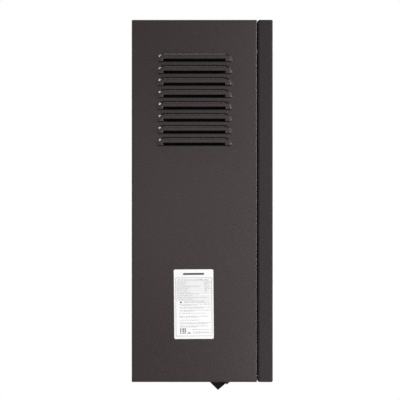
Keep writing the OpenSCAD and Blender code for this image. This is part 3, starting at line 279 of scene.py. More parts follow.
def foam_look(name, color, specular=0.25):
    """Closed-cell foam: small cells and a dull skin."""
    look = Look(name, color, 0.85, specular=specular)
    cells = look.cells(1.1, "Distance")
    look.shade(
        (look.level(cells, 0.1, 0.5), scaled(color, 0.45)),
        (look.level(look.noise(14, 4.0), 0.5, 0.75, 0.0, 0.6), scaled(color, 1.9)),
    )
    look.bump(cells, 0.18)
    return look


def enamel_look(name, color, low, high, depth=0.03):
    """Sprayed enamel: orange peel and a few settled specks."""
    look = Look(name, color, low)
    look.shade(
        (look.level(look.noise(50, 3.0), 0.4, 0.7, 0.0, 0.5), scaled(color, 0.72)),
        (look.level(look.noise(1.1, 4.0), 0.66, 0.74, 0.0, 0.5), scaled(color, 0.4)),
        (look.edges(0.9, 0.3), scaled(color, 1.6)),
    )
    look.set("Coat Weight", 0.3)
    look.set("Coat Roughness", 0.12)
    look.gloss(look.noise(9, 4.0), low, high)
    look.bump(look.noise(1.8, 3.0), depth)
    return look


def iron_look():
    """Cast iron under thin black paint: sand-cast pits and rubbed high spots."""
    look = Look("pump", (0.042, 0.044, 0.047), 0.55)
    pits = look.noise(1.6, 6.0)
    look.shade(
        (look.level(pits, 0.55, 0.75, 0.0, 0.7), (0.11, 0.105, 0.10)),
        (look.level(look.noise(22, 4.0), 0.5, 0.75, 0.0, 0.5), (0.022, 0.022, 0.024)),
        (look.edges(1.0, 0.5), (0.16, 0.155, 0.15)),
    )
    look.gloss(pits, 0.45, 0.7)
    look.bump(pits, 0.22)
    return look


def braid_look():
    """Stainless braid: two sets of fine wires that cross over the hose, with painted shade in the
    hollows between them.
    """
    look = Look("hose", (0.5, 0.5, 0.49), 0.35, metallic=0.9)
    turn = {"Vector": look.place, "Rotation": (0, math.radians(45), 0)}
    turned = look.node("ShaderNodeMapping", turn).outputs["Vector"]
    inputs = {"Vector": turned, "Scale": 1 / (5.5 * MM)}
    waves = [
        look.node("ShaderNodeTexWave", inputs, bands_direction=axis).outputs["Fac"]
        for axis in ("X", "Z")
    ]
    weave = look.math("MAXIMUM", *waves)
    # Darker where the weave is low: painted shade in the hollows between the wires
    look.shade((look.level(weave, 0.75, 0.3), (0.10, 0.10, 0.10)))
    look.gloss(weave, 0.5, 0.3)
    look.bump(weave, 0.35)
    return look


def film_look(name, color, roughness=0.4):
    """Printed or coated film, with a fibre so fine that it only breaks the gloss."""
    look = Look(name, color, roughness)
    fibre = look.noise(0.5, 4.0, look.stretched(1, 1, 0.5))
    look.shade((look.level(fibre, 0.4, 0.7, 0.0, 0.5), scaled(color, 0.93)))
    look.gloss(fibre, roughness - 0.06, roughness + 0.1)
    look.bump(fibre, 0.006)
    return look


LOOKS = {look.name: look for look in (
    paint_look(),
    paint_look("cover_paint", (0.0095, 0.0070, 0.0084), 0.20, 2),
    zinc_look(),
    steel_look(),
    enamel_look("black_steel", (0.018, 0.018, 0.019), 0.4, 0.55),
    steel_look("rod", (0.23, 0.215, 0.19), 0.4, 0.6),
    warm_metal_look("brass", (0.78, 0.56, 0.26), (0.52, 0.36, 0.17), 0.24, 0.42),
    warm_metal_look("copper", (0.80, 0.40, 0.25), (0.45, 0.20, 0.12), 0.22, 0.45),
    plastic_look("black_plastic", (0.017, 0.017, 0.018), 0.42, 0.6),
    plastic_look("pod_plastic", (0.0050, 0.0062, 0.0062), 0.42, 0.6, specular=0.1),
    plastic_look("gloss_black", (0.010, 0.010, 0.012), 0.06, 0.16, grain=30, pale=1.2),
    glass_look("lens", (0.30, 0.30, 0.33), 0.02),
    glass_look("clear", (0.97, 0.98, 0.99), 0.0),
    plastic_look("button", (0.040, 0.041, 0.044), 0.35, 0.5),
    plastic_look("clip", (0.015, 0.015, 0.016), 0.4, 0.55),
    board_look(),
    plastic_look("relay", (0.03, 0.12, 0.42), 0.22, 0.35, pale=1.2),
    plastic_look("terminal", (0.62, 0.60, 0.50), 0.4, 0.55, pale=1.1),
    plastic_look("ceramic", (0.78, 0.75, 0.65), 0.12, 0.25, pale=0.8),
    foam_look("jacket", (0.028, 0.029, 0.031)),
    enamel_look("vessel", (0.030, 0.032, 0.036), 0.25, 0.4),
    braid_look(),
    iron_look(),
    enamel_look("motor", (0.035, 0.075, 0.14), 0.3, 0.45, depth=0.06),
    plastic_look("pale", (0.62, 0.62, 0.59), 0.35, 0.5, pale=1.1),
    plastic_look("red", (0.50, 0.022, 0.018), 0.2, 0.34, pale=1.25),
    plastic_look("lever", (0.025, 0.085, 0.32), 0.35, 0.5, pale=1.3),
    plastic_look("wire", (0.17, 0.03, 0.018), 0.5, 0.65, pale=1.3),
    plastic_look("white_plastic", (0.70, 0.70, 0.67), 0.35, 0.5, pale=1.1),
    steel_look("core", (0.24, 0.24, 0.25), 0.45, 0.6),
    film_look("tape", (0.62, 0.42, 0.04), 0.3),
    # Near-black mat behind the louvres that stands in for the shade inside the casing: painted shade
    foam_look("painted_shade_mat", (0.004, 0.004, 0.004), 0.02),
    film_look("label", (0.80, 0.80, 0.80), 0.35),
    film_look("ink", (0.035, 0.035, 0.037), 0.5),
    film_look("grey_ink", (0.30, 0.30, 0.31), 0.5),
    film_look("white_ink", (0.72, 0.72, 0.72), 0.45),
    film_look("dim_ink", (0.055, 0.058, 0.062), 0.4),
    film_look("red_ink", (0.55, 0.03, 0.025), 0.45),
    film_look("green_ink", (0.04, 0.32, 0.08), 0.45),
    foam_look("foam", (0.014, 0.014, 0.015)),
)}

# Nodes whose look isn't the one that their material slot names
OTHER_LOOKS = {"front_cover": "cover_paint", "switch_pod": "pod_plastic"}

for entry in frame["record"]["subparts"]:
    node = entry["node"]
    look = OTHER_LOOKS.get(node, entry["material_slot"])
    data = frame["nodes"][node].data
    data.materials.clear()
    data.materials.append(LOOKS[look].material)


# Mesh pieces


def seat(at, right=(1, 0, 0), up=(0, 0, 1)):
    """A flat frame at a point in millimetres: X right, Y up and Z out of the surface."""
    x = Vector(right).normalized()
    y = Vector(up).normalized()
    turn = Matrix((x, y, x.cross(y))).transposed().to_4x4()
    return Matrix.Translation(Vector(at) * MM) @ turn @ Matrix.Scale(MM, 4)


def around(r, degrees, x=0.0, y=0.0):
    """The point at a distance and an angle from (x, y)."""
    a = math.radians(degrees)
    return x + r * math.cos(a), y + r * math.sin(a)


def arc(r, start, stop, steps, x=0.0, y=0.0):
    """Points about (x, y) from one angle to another."""
    return [around(r, start + (stop - start) * i / steps, x, y) for i in range(steps + 1)]


def circle(r, sides, x=0.0, y=0.0):
    return arc(r, 0, 360 - 360 / sides, sides - 1, x, y)


def rounded(w, h, r, steps=6):
    """Anticlockwise outline of a rounded rectangle about the origin."""
    outline = []
    for sx, sy, start in ((1, 1, 0), (-1, 1, 90), (-1, -1, 180), (1, -1, 270)):
        outline += arc(r, start, start + 90, steps, sx * (w / 2 - r), sy * (h / 2 - r))
    return outline


def rectangle(x, y, w, h):
    """Anticlockwise outline of a rectangle about (x, y)."""
    left, right, low, high = x - w / 2, x + w / 2, y - h / 2, y + h / 2
    return [(left, low), (right, low), (right, high), (left, high)]


def flats(r, count, steps=48):
    """Outline of a regular polygon, r over its corners, with steps points."""
    half = math.pi / count
    outline = []
    for i in range(steps):
        a = 2 * math.pi * i / steps
        reach = r * math.cos(half) / math.cos((a % (2 * half)) - half)
        outline.append((reach * math.cos(a), reach * math.sin(a)))
    return outline


def moved(outline, x, y):
    return [(px + x, py + y) for px, py in outline]


def hoop(inner, outer, low, high):
    """Closed profile of a flat ring, to be turned by Piece.lathe."""
    return [(inner, low), (outer, low), (outer, high), (inner, high)]


def added(name, data):
    """A new object of the scene."""
    made = bpy.data.objects.new(name, data)
    bpy.context.scene.collection.objects.link(made)
    return made


class Piece:
    """Closed solids collected into one mesh, in millimetres in the frame of a seat."""

    def __init__(self, at):
        self.seat = at
        self.mesh = bmesh.new()

    def _faces(self, rings, closed):
        """Joins rings of points side by side, and caps the two ends unless they meet."""
        rings = [[self.mesh.verts.new(p) for p in ring] for ring in rings]
        pairs = list(zip(rings, rings[1:])) + ([(rings[-1], rings[0])] if closed else [])
        for a, b in pairs:
            for i in range(len(a)):
                j = (i + 1) % len(a)
                self.mesh.faces.new((a[i], a[j], b[j], b[i]))
        if not closed:
            self.mesh.faces.new(rings[0][::-1])
            self.mesh.faces.new(rings[-1])
        return self

    def prism(self, outline, low, high, inset=0.0):
        """A solid over a flat outline; inset draws its upper face in towards the middle."""
        rings = [[(x, y, low) for x, y in outline]]
        if inset:
            rings.append([(x, y, high - inset) for x, y in outline])
            cx = sum(x for x, _ in outline) / len(outline)
            cy = sum(y for _, y in outline) / len(outline)
            outline = [
                (x - inset * math.copysign(1, x - cx), y - inset * math.copysign(1, y - cy))
                for x, y in outline
            ]
        rings.append([(x, y, high) for x, y in outline])
        return self._faces(rings, closed=False)

    def frame(self, outer, inner, low, high):
        """A flat band between two outlines with as many points each."""
        rings = [[(*o, low), (*o, high), (*i, high), (*i, low)] for o, i in zip(outer, inner)]
        return self._faces(rings, closed=True)

    def lathe(self, profile, x=0.0, y=0.0, sides=40, start=0.0, sweep=360.0):
        """Turns a closed profile of (radius, height) points about an upright axis."""
        full = sweep == 360.0
        steps = sides if full else sides + 1
        rings = []
        for k in range(steps):
            turn = start + sweep * k / sides
            rings.append([(*around(r, turn, x, y), z) for r, z in profile])
        return self._faces(rings, closed=full)

    def thread(self, r, bore, depth, pitch, low, high, sides=48):
        """A tube with a screw thread cut into its outside by depth, run out at both ends."""
        levels = math.ceil(4 * (high - low) / pitch)
        rings = []
        for level in range(levels + 1):
            z = low + (high - low) * level / levels
            run_out = min(1.0, (z - low) / pitch, (high - z) / pitch)
            ring = []
            for i in range(sides):
                phase = (z / pitch - i / sides) % 1.0
                reach = r - depth + depth * run_out * (1 - abs(2 * phase - 1))
                ring.append((*around(reach, 360 * i / sides), z))
            rings.append(ring)
        inside = circle(bore, sides)
        rings += [[(*p, high) for p in inside], [(*p, low) for p in inside]]
        return self._faces(rings, closed=True)

    def disc(self, r, low, high, x=0.0, y=0.0, sides=32, soft=0.0):
        """A round plate, with its upper edge rounded by soft."""
        levels = [(r, low), (r, high)]
        if soft:
            shoulder = (r - 0.3 * soft, high - 0.3 * soft)
            levels = [(r, low), (r, high - soft), shoulder, (r - soft, high)]
        rings = [[(*p, z) for p in circle(reach, sides, x, y)] for reach, z in levels]
        return self._faces(rings, closed=False)

    def torus(self, r, thick, z=0.0, sides=64):
        return self.lathe([(r + px, z + pz) for px, pz in circle(thick, 12)], sides=sides)

    def text(self, words, size, low, high, x=0.0, y=0.0):
        """Raised figures, centred on a point."""
        curve = bpy.data.curves.new("figures", "FONT")
        curve.body = words
        curve.size = size
        curve.align_x = "CENTER"
        curve.align_y = "CENTER"
        curve.extrude = (high - low) / 2
        curve.resolution_u = 3
        holder = added("figures", curve)
        solid = holder.evaluated_get(bpy.context.evaluated_depsgraph_get())
        made = bpy.data.meshes.new_from_object(solid)
        made.transform(Matrix.Translation((x, y, (low + high) / 2)))
        self.mesh.from_mesh(made)
        bpy.data.objects.remove(holder)
        bpy.data.curves.remove(curve)
        bpy.data.meshes.remove(made)
        return self

    def done(self, name, body, look, slot=None, bevel=0.0):
        """Makes the object and lets it ride on its body; the slot argument is not used."""
        bmesh.ops.remove_doubles(self.mesh, verts=self.mesh.verts, dist=1e-4)
        bmesh.ops.recalc_face_normals(self.mesh, faces=self.mesh.faces)
        data = bpy.data.meshes.new(name)
        self.mesh.to_mesh(data)
        self.mesh.free()
        data.transform(self.seat)
        data.polygons.foreach_set("use_smooth", [True] * len(data.polygons))
        data.set_sharp_from_angle(angle=math.radians(35))
        data.materials.append(LOOKS[look].material)
        made = added(name, data)
        if bevel:
            modifier = made.modifiers.new("soft edges", "BEVEL")
            modifier.width = bevel * MM
            modifier.segments = 2
            modifier.limit_method = "ANGLE"
        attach(made, body)
        return made


def middle(node):
    """The middle of a CAD node's box, in millimetres."""
    low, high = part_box(node)
    return (low + high) / 2 / MM


# How far print and marks reach below and above their surface
LABEL_INK = (-0.02, 0.03)
MARK_INK = (-0.02, 0.05)
DIGIT_INK = (-0.02, 0.06)
KNOB_INK = (-0.02, 0.08)
ROCKER_INK = (-0.03, 0.06)

# Where other added parts start, below the surface that carries them
SUNK = -0.05


# Rating label: plain rules, rows of dashes in place of words, and a few blocks

LABEL_W, LABEL_H = 75, 132
LABEL_SKEW = math.radians(0.43)


def print_line(ink, chance, x, y, length, height=1.1, pitch=0.62):
    """One line of upright dashes in groups, as small print looks from a distance."""
    dash, word_gap = 0.62 * pitch, 1.6 * pitch
    end = x + length
    while x < end:
        for _ in range(chance.randint(3, 9)):
            if x >= end:
                break
            tall = height * chance.choice((0.62, 0.66, 0.7, 1.0))
            ink.prism(rectangle(x, y + tall / 2, dash, tall), *LABEL_INK)
            x += pitch
        x += word_gap


def label_rules(at, top):
    """Title bar, frame and row lines, the latter by their drop from the label's top edge."""
    rules = Piece(at)
    rules.prism(moved(rounded(40, 3.6, 1.2), 0, top - 8.6), *LABEL_INK)
    x, y, w, h = 0.2, top - 71.2, 68.5, 110.4
    frame_line, row_line = 0.5, 0.36
    for side in (-w / 2, w / 2):
        rules.prism(rectangle(x + side, y, frame_line, h), *LABEL_INK)
    for side in (-h / 2, h / 2):
        rules.prism(rectangle(x, y + side, w, frame_line), *LABEL_INK)
    for drop in (22.2, 26.1, 29.9, 33.6, 37.3, 41.0, 45.1, 50.6, 54.6, 58.6):
        rules.prism(rectangle(x, top - drop, w, row_line), *LABEL_INK)
    rules.done("label_rules", "casing", "ink", "label")


def label_blocks(at, chance, left, top):
    """Bold title line, a small mark, and three columns and a foot of blocks."""
    bold = Piece(at)
    print_line(bold, chance, left + 8, top - 20.6, 58, 1.9, 0.9)
    bold.prism(rectangle(left + 13, top - 62.4, 3.4, 3.2), *LABEL_INK)
    heights = ((113.2, 2.6), (117.0, 2.8), (120.8, 2.0))
    columns = ((12.3, 2.6, heights), (17.2, 3.2, heights), (21.0, 2.8, heights))
    for x, w, rows in (*columns, (28.2, 5.6, heights[-1:])):
        for drop, h in rows:
            bold.prism(rectangle(left + x, top - drop, w, h), *LABEL_INK)
    bold.done("label_blocks", "casing", "ink", "label")


def label_print(at, chance, left, top):
    """The small print: table rows with one or two entries, then paragraphs with dots."""
    fine = Piece(at)
    indent = 6.5
    table = (  # drop, length of the first entry, place and length of the second
        (24.9, 17, 57, 14), (28.7, 14, 58, 9), (32.4, 41, 58, 8), (36.1, 22, 58, 12),
        (39.8, 20, 58, 5), (43.7, 26, 58, 5), (47.2, 41, 0, 0), (49.5, 30, 0, 0),
        (53.4, 56, 0, 0), (57.4, 31, 0, 0),
    )
    for drop, first, second_x, second in table:
        print_line(fine, chance, left + indent, top - drop, first)
        if second:
            print_line(fine, chance, left + second_x, top - drop, second)
    paragraphs = (  # drop to a line's middle, its place and its length
        (60.9, 19, 39), (62.8, 19, 50), (66.0, 12, 58), (67.9, 12, 30), (71.4, 12, 57),
        (73.3, 12, 44), (77.2, 12, 58), (79.1, 12, 26), (83.2, 12, 49), (88.8, 12, 53),
        (90.7, 12, 34), (96.2, 12, 35), (101.2, 11, 59), (103.1, 11, 52), (107.2, 11, 54),
        (109.1, 11, 33), (113.9, 34, 36), (120.8, 36, 33), (118.9, 36, 30),
    )
    to_foot = 0.6
    for drop, x, length in paragraphs:
        print_line(fine, chance, left + x, top - drop - to_foot, length)
    for drop in (66.2, 71.6, 77.4, 83.4, 89.0):
        fine.disc(0.6, *LABEL_INK, left + 10.2, top - drop, 12)
    fine.done("label_print", "casing", "ink", "label")


def rating_label():
    """Print on the label, which is stuck on a little askew."""
    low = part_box("rating_label")[0] / MM
    at = middle("rating_label")
    right = (0, -math.cos(LABEL_SKEW), math.sin(LABEL_SKEW))
    up = (0, math.sin(LABEL_SKEW), math.cos(LABEL_SKEW))
    on_label = seat((low.x, at.y, at.z), right, up)
    chance = random.Random(7)
    left, top = -LABEL_W / 2, LABEL_H / 2
    label_rules(on_label, top)
    label_blocks(on_label, chance, left, top)
    label_print(on_label, chance, left, top)


# Control panel: marks on the buttons, window frame, unlit digits and indicator dots


def button_marks():
    """Generic signs: a broken ring and bar, three lines, minus and plus."""
    arm, stroke = 5.2, 0.7
    bars = {
        "power": [(0, 2.5, 0.6, 2.8)],
        "mode": [(0, y, arm, 0.6) for y in (-1.7, 0, 1.7)],
        "down": [(0, 0, arm, stroke)],
        "up": [(0, 0, arm, stroke), (0, 1.6, stroke, 2.5), (0, -1.6, stroke, 2.5)],
    }
    for name, strokes in bars.items():
        at = middle(f"button_{name}")
        at.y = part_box(f"button_{name}")[0].y / MM
        mark = Piece(seat(at))
        if name == "power":
            mark.lathe(hoop(2.5, 3.05, 0, MARK_INK[1]), start=118, sweep=304, sides=36)
        for bar in strokes:
            mark.prism(rectangle(*bar), *MARK_INK)
        mark.done(f"mark_{name}", f"{name}_button", "white_ink", "button")


def digit(piece, x, w, h, stroke):
    """The seven bars of one unlit digit, from its top to its foot."""
    trim = 1.25 * stroke
    lying, upright = (w - trim, stroke), (stroke, h / 2 - trim)
    bars = (
        (0, h / 2, lying), (-w / 2, h / 4, upright), (w / 2, h / 4, upright), (0, 0, lying),
        (-w / 2, -h / 4, upright), (w / 2, -h / 4, upright), (0, -h / 2, lying),
    )
    for dx, dy, size in bars:
        piece.prism(rectangle(x + dx, dy, *size), *DIGIT_INK)


def control_panel():
    button_marks()

    window = middle("display_lens")
    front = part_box("control_fascia")[0].y / MM
    edge = Piece(seat((window.x, front, window.z)))
    edge.frame(rounded(79, 35, 3.4), rounded(78.3, 34.3, 3.05), *MARK_INK)
    for i in range(3):
        edge.disc(0.9, *MARK_INK, 47 + 8 * i, 0, 20)
    edge.done("fascia_print", "front_cover", "grey_ink", "gloss_black")

    module_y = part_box("display_board")[0].y / MM
    proud = 0.15
    module = Piece(seat((window.x, module_y, window.z)))
    module.prism(rounded(68.4, 26.4, 1), -6, proud, 0.1)
    module.done("display_module", "front_cover", "black_plastic")
    digits = Piece(seat((window.x, module_y - proud, window.z)))
    for x in (-22, -8, 8, 22):
        digit(digits, x, 8.4, 17, 1.7)
    for y in (-3.5, 3.5):
        digits.disc(0.9, *DIGIT_INK, 0, y, 16)
    digits.done("display_digits", "front_cover", "dim_ink", "lens")


# Service pod: gauge dial and rocker marks, seated halfway up its sloping face

POD_FACE = math.radians(50)
POD_TIP = Vector((0, -164, -635.5))
FACE_UP = Vector((0, -math.sin(POD_FACE), math.cos(POD_FACE)))
HALFWAY = 38
GAUGE_X, ROCKER_X = -28, 30
ROCKER_TILT = math.radians(8)


def pod_seat(x):
    return seat(POD_TIP + Vector((x, 0, 0)) + HALFWAY * FACE_UP, up=FACE_UP)


def gauge_scale(at, angle, low, high):
    """Tenths of a bar as ticks on an arc, and the figures 0 to 4."""
    scale = Piece(at)
    rim = 13.8
    for tenths in range(0, 41):
        major = tenths % 10 == 0
        start = 11.6 if major else 12.5 if tenths % 5 == 0 else 13.0
        out = Vector(around(1, angle(tenths / 10)))
        side = Vector((-out.y, out.x)) * (0.22 if major else 0.11)
        corners = [out * start - side, out * rim - side, out * rim + side, out * start + side]
        scale.prism([tuple(c) for c in corners], low, high)
    scale.lathe(hoop(13.75, 13.95, low, high), start=angle(4), sweep=270, sides=72)
    for bar in range(5):
        scale.text(str(bar), 3.3, -3.22, high, *around(9.3, angle(bar)))
    scale.done("gauge_scale", "casing", "ink", "pale")


def pressure_gauge():
    """Dial, trim ring, scale and coloured zones."""
    at = pod_seat(GAUGE_X)
    floor, zero, per_bar = -3.2, 225, 67.5
    dial = Piece(at)
    dial.lathe(hoop(1.1, 15.3, floor - 0.4, floor), sides=64)
    dial.done("gauge_dial", "casing", "label", "pale")

    def angle(bar):
        return zero - per_bar * bar

    trim = Piece(at)
    outside = [(16.5, 0.3), (16.8, 0.3), (16.8, 2.9), (16.5, 3.3)]
    trim.lathe(outside + [(15.4, 3.3), (15.4, 3.1), (16.2, 3.1)], sides=72)
    trim.done("gauge_trim", "casing", "steel")

    low = floor + SUNK
    gauge_scale(at, angle, low, -3.12)
    for name, start, stop, look in (("safe", 1, 2, "green_ink"), ("limit", 3, 4, "red_ink")):
        zone = Piece(at)
        sweep = per_bar * (stop - start)
        zone.lathe(hoop(14.15, 14.95, low, -3.1), start=angle(stop), sweep=sweep, sides=24)
        zone.done(f"gauge_{name}_zone", "casing", look, "pale")


def rocker_marks():
    """I and O, each on its own half of the rocker."""
    half = 5.4
    lift = 1.2 + half * math.tan(ROCKER_TILT)
    for name, side in (("on", 1), ("off", -1)):
        rest = Matrix.Rotation(ROCKER_TILT, 4, "X")
        spot = Matrix.Translation((0, side * half, lift))
        slope = Matrix.Rotation(side * ROCKER_TILT, 4, "X")
        mark = Piece(pod_seat(ROCKER_X) @ rest @ spot @ slope)
        if name == "on":
            mark.prism(rectangle(0, 0, 0.7, 4.2), *ROCKER_INK)
        else:
            mark.lathe(hoop(1.6, 2.2, *ROCKER_INK), sides=32)
        mark.done(f"rocker_mark_{name}", "rocker", "white_ink", "gloss_black")


# Fasteners and trims


def screw(piece, x, y, r, z=0.0):
    """Domed head with a cross recess: a cup, and four quarters with the cross between them."""
    recess, crown = z + 0.2 * r, z + 0.54 * r
    piece.lathe([
        (0.001, z), (r, z), (r, z + 0.12 * r), (0.92 * r, z + 0.34 * r), (0.7 * r, z + 0.5 * r),
        (0.55 * r, crown), (0.55 * r, recess), (0.001, recess),
    ], x, y, 24)
    for quarter in (10, 100, 190, 280):
        wedge = arc(0.56 * r, quarter + 14, quarter + 76, 4) + [around(0.16 * r, quarter + 45)]
        piece.prism(moved(wedge, x, y), z + 0.15 * r, crown)


def fasteners():
    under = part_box("bottom_panel")[0].z / MM
    below = Piece(seat((0, 0, under), up=(0, -1, 0)))
    for x in (-176, 176):
        for y in (32, 120, 222):
            screw(below, x, y, 3.9)
    below.done("bottom_screws", "casing", "steel")

    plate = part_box("electronics_plate")
    inner = middle("electronics_plate")
    plate_thick = 1.2
    front = plate[1].y / MM - plate_thick
    shelf = Piece(seat((inner.x, front, inner.z)))
    for x in (-96, 96):
        for y in (-140, 140):
            screw(shelf, x, y, 3.6)
    shelf.done("plate_screws", "casing", "steel")

    head = [(0.001, 0), (4, 0), (3.7, 0.9), (2.6, 1.5), (1.2, 1.6), (1.0, 1.0), (0.001, 1.0)]
    rivets = Piece(seat((0, -11.5, 44), right=(-1, 0, 0)))
    for x in (-130, -65, 65, 130):
        rivets.lathe(head, x, 0, 28)
    rivets.done("hanger_rivets", "casing", "steel")


def cover_gasket():
    """Foam strip stuck round the cover's rear lip."""
    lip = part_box("front_cover")[1].y / MM
    at = middle("front_cover")
    width, height, strip_w = 387, 685, 5
    inside = rounded(width - 2 * strip_w, height - 2 * strip_w, 1)
    strip = Piece(seat((at.x, lip, at.z)))
    strip.frame(rounded(width, height, 4), inside, -1.1, -SUNK)
    strip.done("cover_gasket", "front_cover", "foam", "black_plastic")


def vent_filters():
    """Black mats behind the louvres, each in a thin edge binding with six studs; a near-black sheet
    put where the inside of the casing is only in shade, painted shade seen through the slots.
    """
    height, middle_z, back = 180, -80.5, -42
    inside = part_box("bottom_panel")[1].x / MM
    for side, panel, front in ((-1, "left_side_panel", -197), (1, "right_side_panel", -178.5)):
        width = back - front
        at = (side * inside, (front + back) / 2, middle_z)
        mats = Piece(seat(at, right=(0, -side, 0)))
        mats.prism(rounded(width - 6, height - 6, 2), SUNK, 1.6, 0.4)
        mats.frame(rounded(width, height, 4), rounded(width - 7, height - 7, 1.5), SUNK, 2.2)
        for y in (-84, 84):
            for share in (-0.4, 0.0, 0.4):
                mats.disc(1.6, 1.0, 2.6, share * width, y, 20, 0.5)
        mats.done(f"{panel}_filter", "casing", "painted_shade_mat", "black_plastic")


# Pipework


def pipe_ends():
    """The two pipe connectors with real screw threads, in place of the plain CAD ones."""
    low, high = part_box("pipe_connectors")
    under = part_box("bottom_panel")[0].z / MM
    y = middle("pipe_connectors").y
    thread_r, thread_depth, thread_pitch = 13.2, 1.15, 1.81
    bore, shank = 9, 12.9
    shoulder, collar = under - 6, under + 1.2
    for name, x in (("flow", -130), ("return", 125)):
        end = Piece(seat((x, y, 0), up=(0, 1, 0)))
        end.thread(thread_r, bore, thread_depth, thread_pitch, low.z / MM, shoulder)
        end.lathe(hoop(bore, shank, shoulder, high.z / MM), sides=64)
        end.frame(flats(18.2, 6), circle(12.8, 48), collar, collar + 8)
        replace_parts(end.done(f"{name}_connector", "casing", "brass", bevel=0.25), "pipe_connectors")


def hose_ferrules():
    """Crimped sleeves on the two ends of the vessel's hose."""
    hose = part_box("vessel_hose")
    y = middle("vessel_hose").y
    hose_r = 7
    crimped = [(7.1, 0), (8.1, 0), (8.4, 0.8), (8.4, 3), (7.6, 3.6), (7.6, 5), (8.4, 5.6)]
    crimped += [(8.4, 9), (7.6, 9.6), (7.6, 11), (8.4, 11.6), (8.4, 15), (8.0, 16), (7.1, 16)]
    top = Piece(seat((hose[0].x / MM + hose_r, y, hose[1].z / MM), (-1, 0, 0), (0, 1, 0)))
    top.lathe(crimped).done("hose_ferrule_top", "casing", "steel", "hose")
    foot = Piece(seat((hose[1].x / MM, y, hose[0].z / MM + hose_r), (0, 0, 1), (0, 1, 0)))
    foot.lathe(crimped).done("hose_ferrule_foot", "casing", "steel", "hose")


def hose_barbs():
    """Barbs round the drain's hose tail."""
    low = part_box("drain_valve")[0].z / MM
    tail_x, pipes_y = 70, -59.2
    tail = Piece(seat((tail_x, pipes_y, low), up=(0, 1, 0)))
    for z in (1.5, 6, 10.5, 15):
        tail.lathe([(6.8, z), (7.2, z), (7.6, z + 3.2), (6.8, z + 3.8)])
    tail.done("drain_barbs", "casing", "brass")


def motor_details():
    """Shell ridges, vent plug and flange screws of the pump's motor."""
    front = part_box("pump_motor")[0].y / MM
    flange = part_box("pump_body")[0].y / MM - 7
    axis = middle("pump_motor")
    on_front = seat((axis.x, front, axis.z))
    shell = Piece(on_front)
    shell.lathe([(37.5, SUNK), (40.5, SUNK), (40.0, 0.9), (38.0, 0.9)], sides=72)
    shell.lathe([(16, SUNK), (18, SUNK), (17.6, 0.7), (16.4, 0.7)], sides=56)
    for depth in (18, 26, 34):
        shell.torus(42.6, 1.0, -depth, sides=72)
    shell.done("motor_ridges", "casing", "motor")

    plug = Piece(on_front)
    plug.disc(11, SUNK, 2, soft=0.4, sides=48)
    for turn in (5, 185):
        plug.prism(arc(10, turn, turn + 170, 24), 1.9, 3.2, 0.2)
    plug.done("motor_vent_plug", "casing", "brass")

    screws = Piece(seat((axis.x, flange, axis.z)))
    for turn in (35, 145, 215, 325):
        screws.disc(2.1, SUNK, 3, *around(43.7, turn), 24, 0.4)
    screws.done("motor_screws", "casing", "steel")


def terminal_box_details():
    """Lid screws and seam of the pump's terminal box, and the marks of its speed knob."""
    lid_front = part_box("pump_terminal_box")[0].y / MM
    box = middle("pump_terminal_box")
    knob = middle("pump_speed_knob")
    lid = Piece(seat((box.x, lid_front, box.z)))
    for x in (-12, 6):
        for y in (-23.5, 23.5):
            screw(lid, x, y, 2.2, SUNK)
    lid.done("terminal_box_screws", "casing", "steel")

    rim = Piece(seat((box.x, lid_front, box.z)))
    rim.frame(rounded(34.8, 56.8, 1.2), rounded(33, 55, 1), -5.4, -4.6)
    rim.done("terminal_box_seam", "casing", "black_plastic")

    marks = Piece(seat((knob.x, lid_front, knob.z)))
    for figure, turn in (("1", 270), ("2", 210), ("3", 150)):
        a = math.radians(turn)
        marks.text(figure, 3.4, *KNOB_INK, 11.2 * math.cos(a), 11.4 * math.sin(a))
    marks.done("speed_marks", "casing", "white_ink", "black_plastic")
    pointer = Piece(seat((knob.x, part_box("pump_speed_knob")[0].y / MM, knob.z)))
    pointer.prism(rectangle(0, -5, 1, 4.4), *KNOB_INK)
    pointer.done("speed_pointer", "speed_knob", "ink", "pale")


# Heat exchanger and expansion vessel


def tank_details():
    """Weld beads of the tank and the bolts that close its two bands."""
    tank = middle("tank_jacket")
    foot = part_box("heat_tank")[0].z / MM
    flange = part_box("heater_flange")[0].z / MM - 7
    beads = Piece(seat((tank.x, tank.y, 0), up=(0, 1, 0)))
    beads.torus(49.9, 1.3, foot + 17.5, sides=90)
    beads.torus(50.2, 1.7, flange - 0.4, sides=90)
    beads.done("tank_welds", "casing", "black_steel")
    inlet_z = -352.8
    inlet = Piece(seat((tank.x + 50.4, tank.y - 3, inlet_z), (0, 1, 0), (0, 0, 1)))
    inlet.torus(10.4, 1.5, sides=48).done("inlet_weld", "casing", "black_steel")

    low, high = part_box("tank_straps")
    bolts = Piece(seat((high.x / MM - 5, tank.y - 6, 0)))
    head, reach = flats(3.4, 6, 36), 11
    for z in (low.z / MM + 8, high.z / MM - 8):
        for shift in (-4.2, 4.2):
            bolts.prism(moved(head, 0, z + shift), 0, 2.4, 0.3)
            bolts.disc(1.9, -reach, 0.5, 0, z + shift, 24)
            bolts.prism(moved(head, 0, z + shift), -reach, -8.35)
    bolts.done("strap_bolts", "casing", "steel")


def charge_valve():
    """Gas valve with a knurled cap in the middle of the vessel."""
    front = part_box("expansion_vessel")[0].y / MM
    vessel_z = -174.4
    at = seat((middle("expansion_vessel").x, front, vessel_z))
    valve = Piece(at)
    body = [(0.001, -0.3), (11, -0.3), (9.5, 1.4), (5, 2.2), (4, 3), (4, 9), (0.001, 9)]
    valve.lathe(body, sides=48)
    valve.done("charge_valve", "casing", "brass")
    cap = Piece(at)
    teeth, crest, root = 36, 5.6, 5.2
    knurl = []
    for i in range(2 * teeth):
        a = math.pi * i / teeth
        r = crest if i % 2 else root
        knurl.append((r * math.cos(a), r * math.sin(a)))
    cap.prism(knurl, 4, 13, 0.4).done("charge_valve_cap", "casing", "black_plastic")


# Electronics: places on the control board count from its lower left corner

BOARD_TOP = 1.6
LEGS_LOW = 1.55


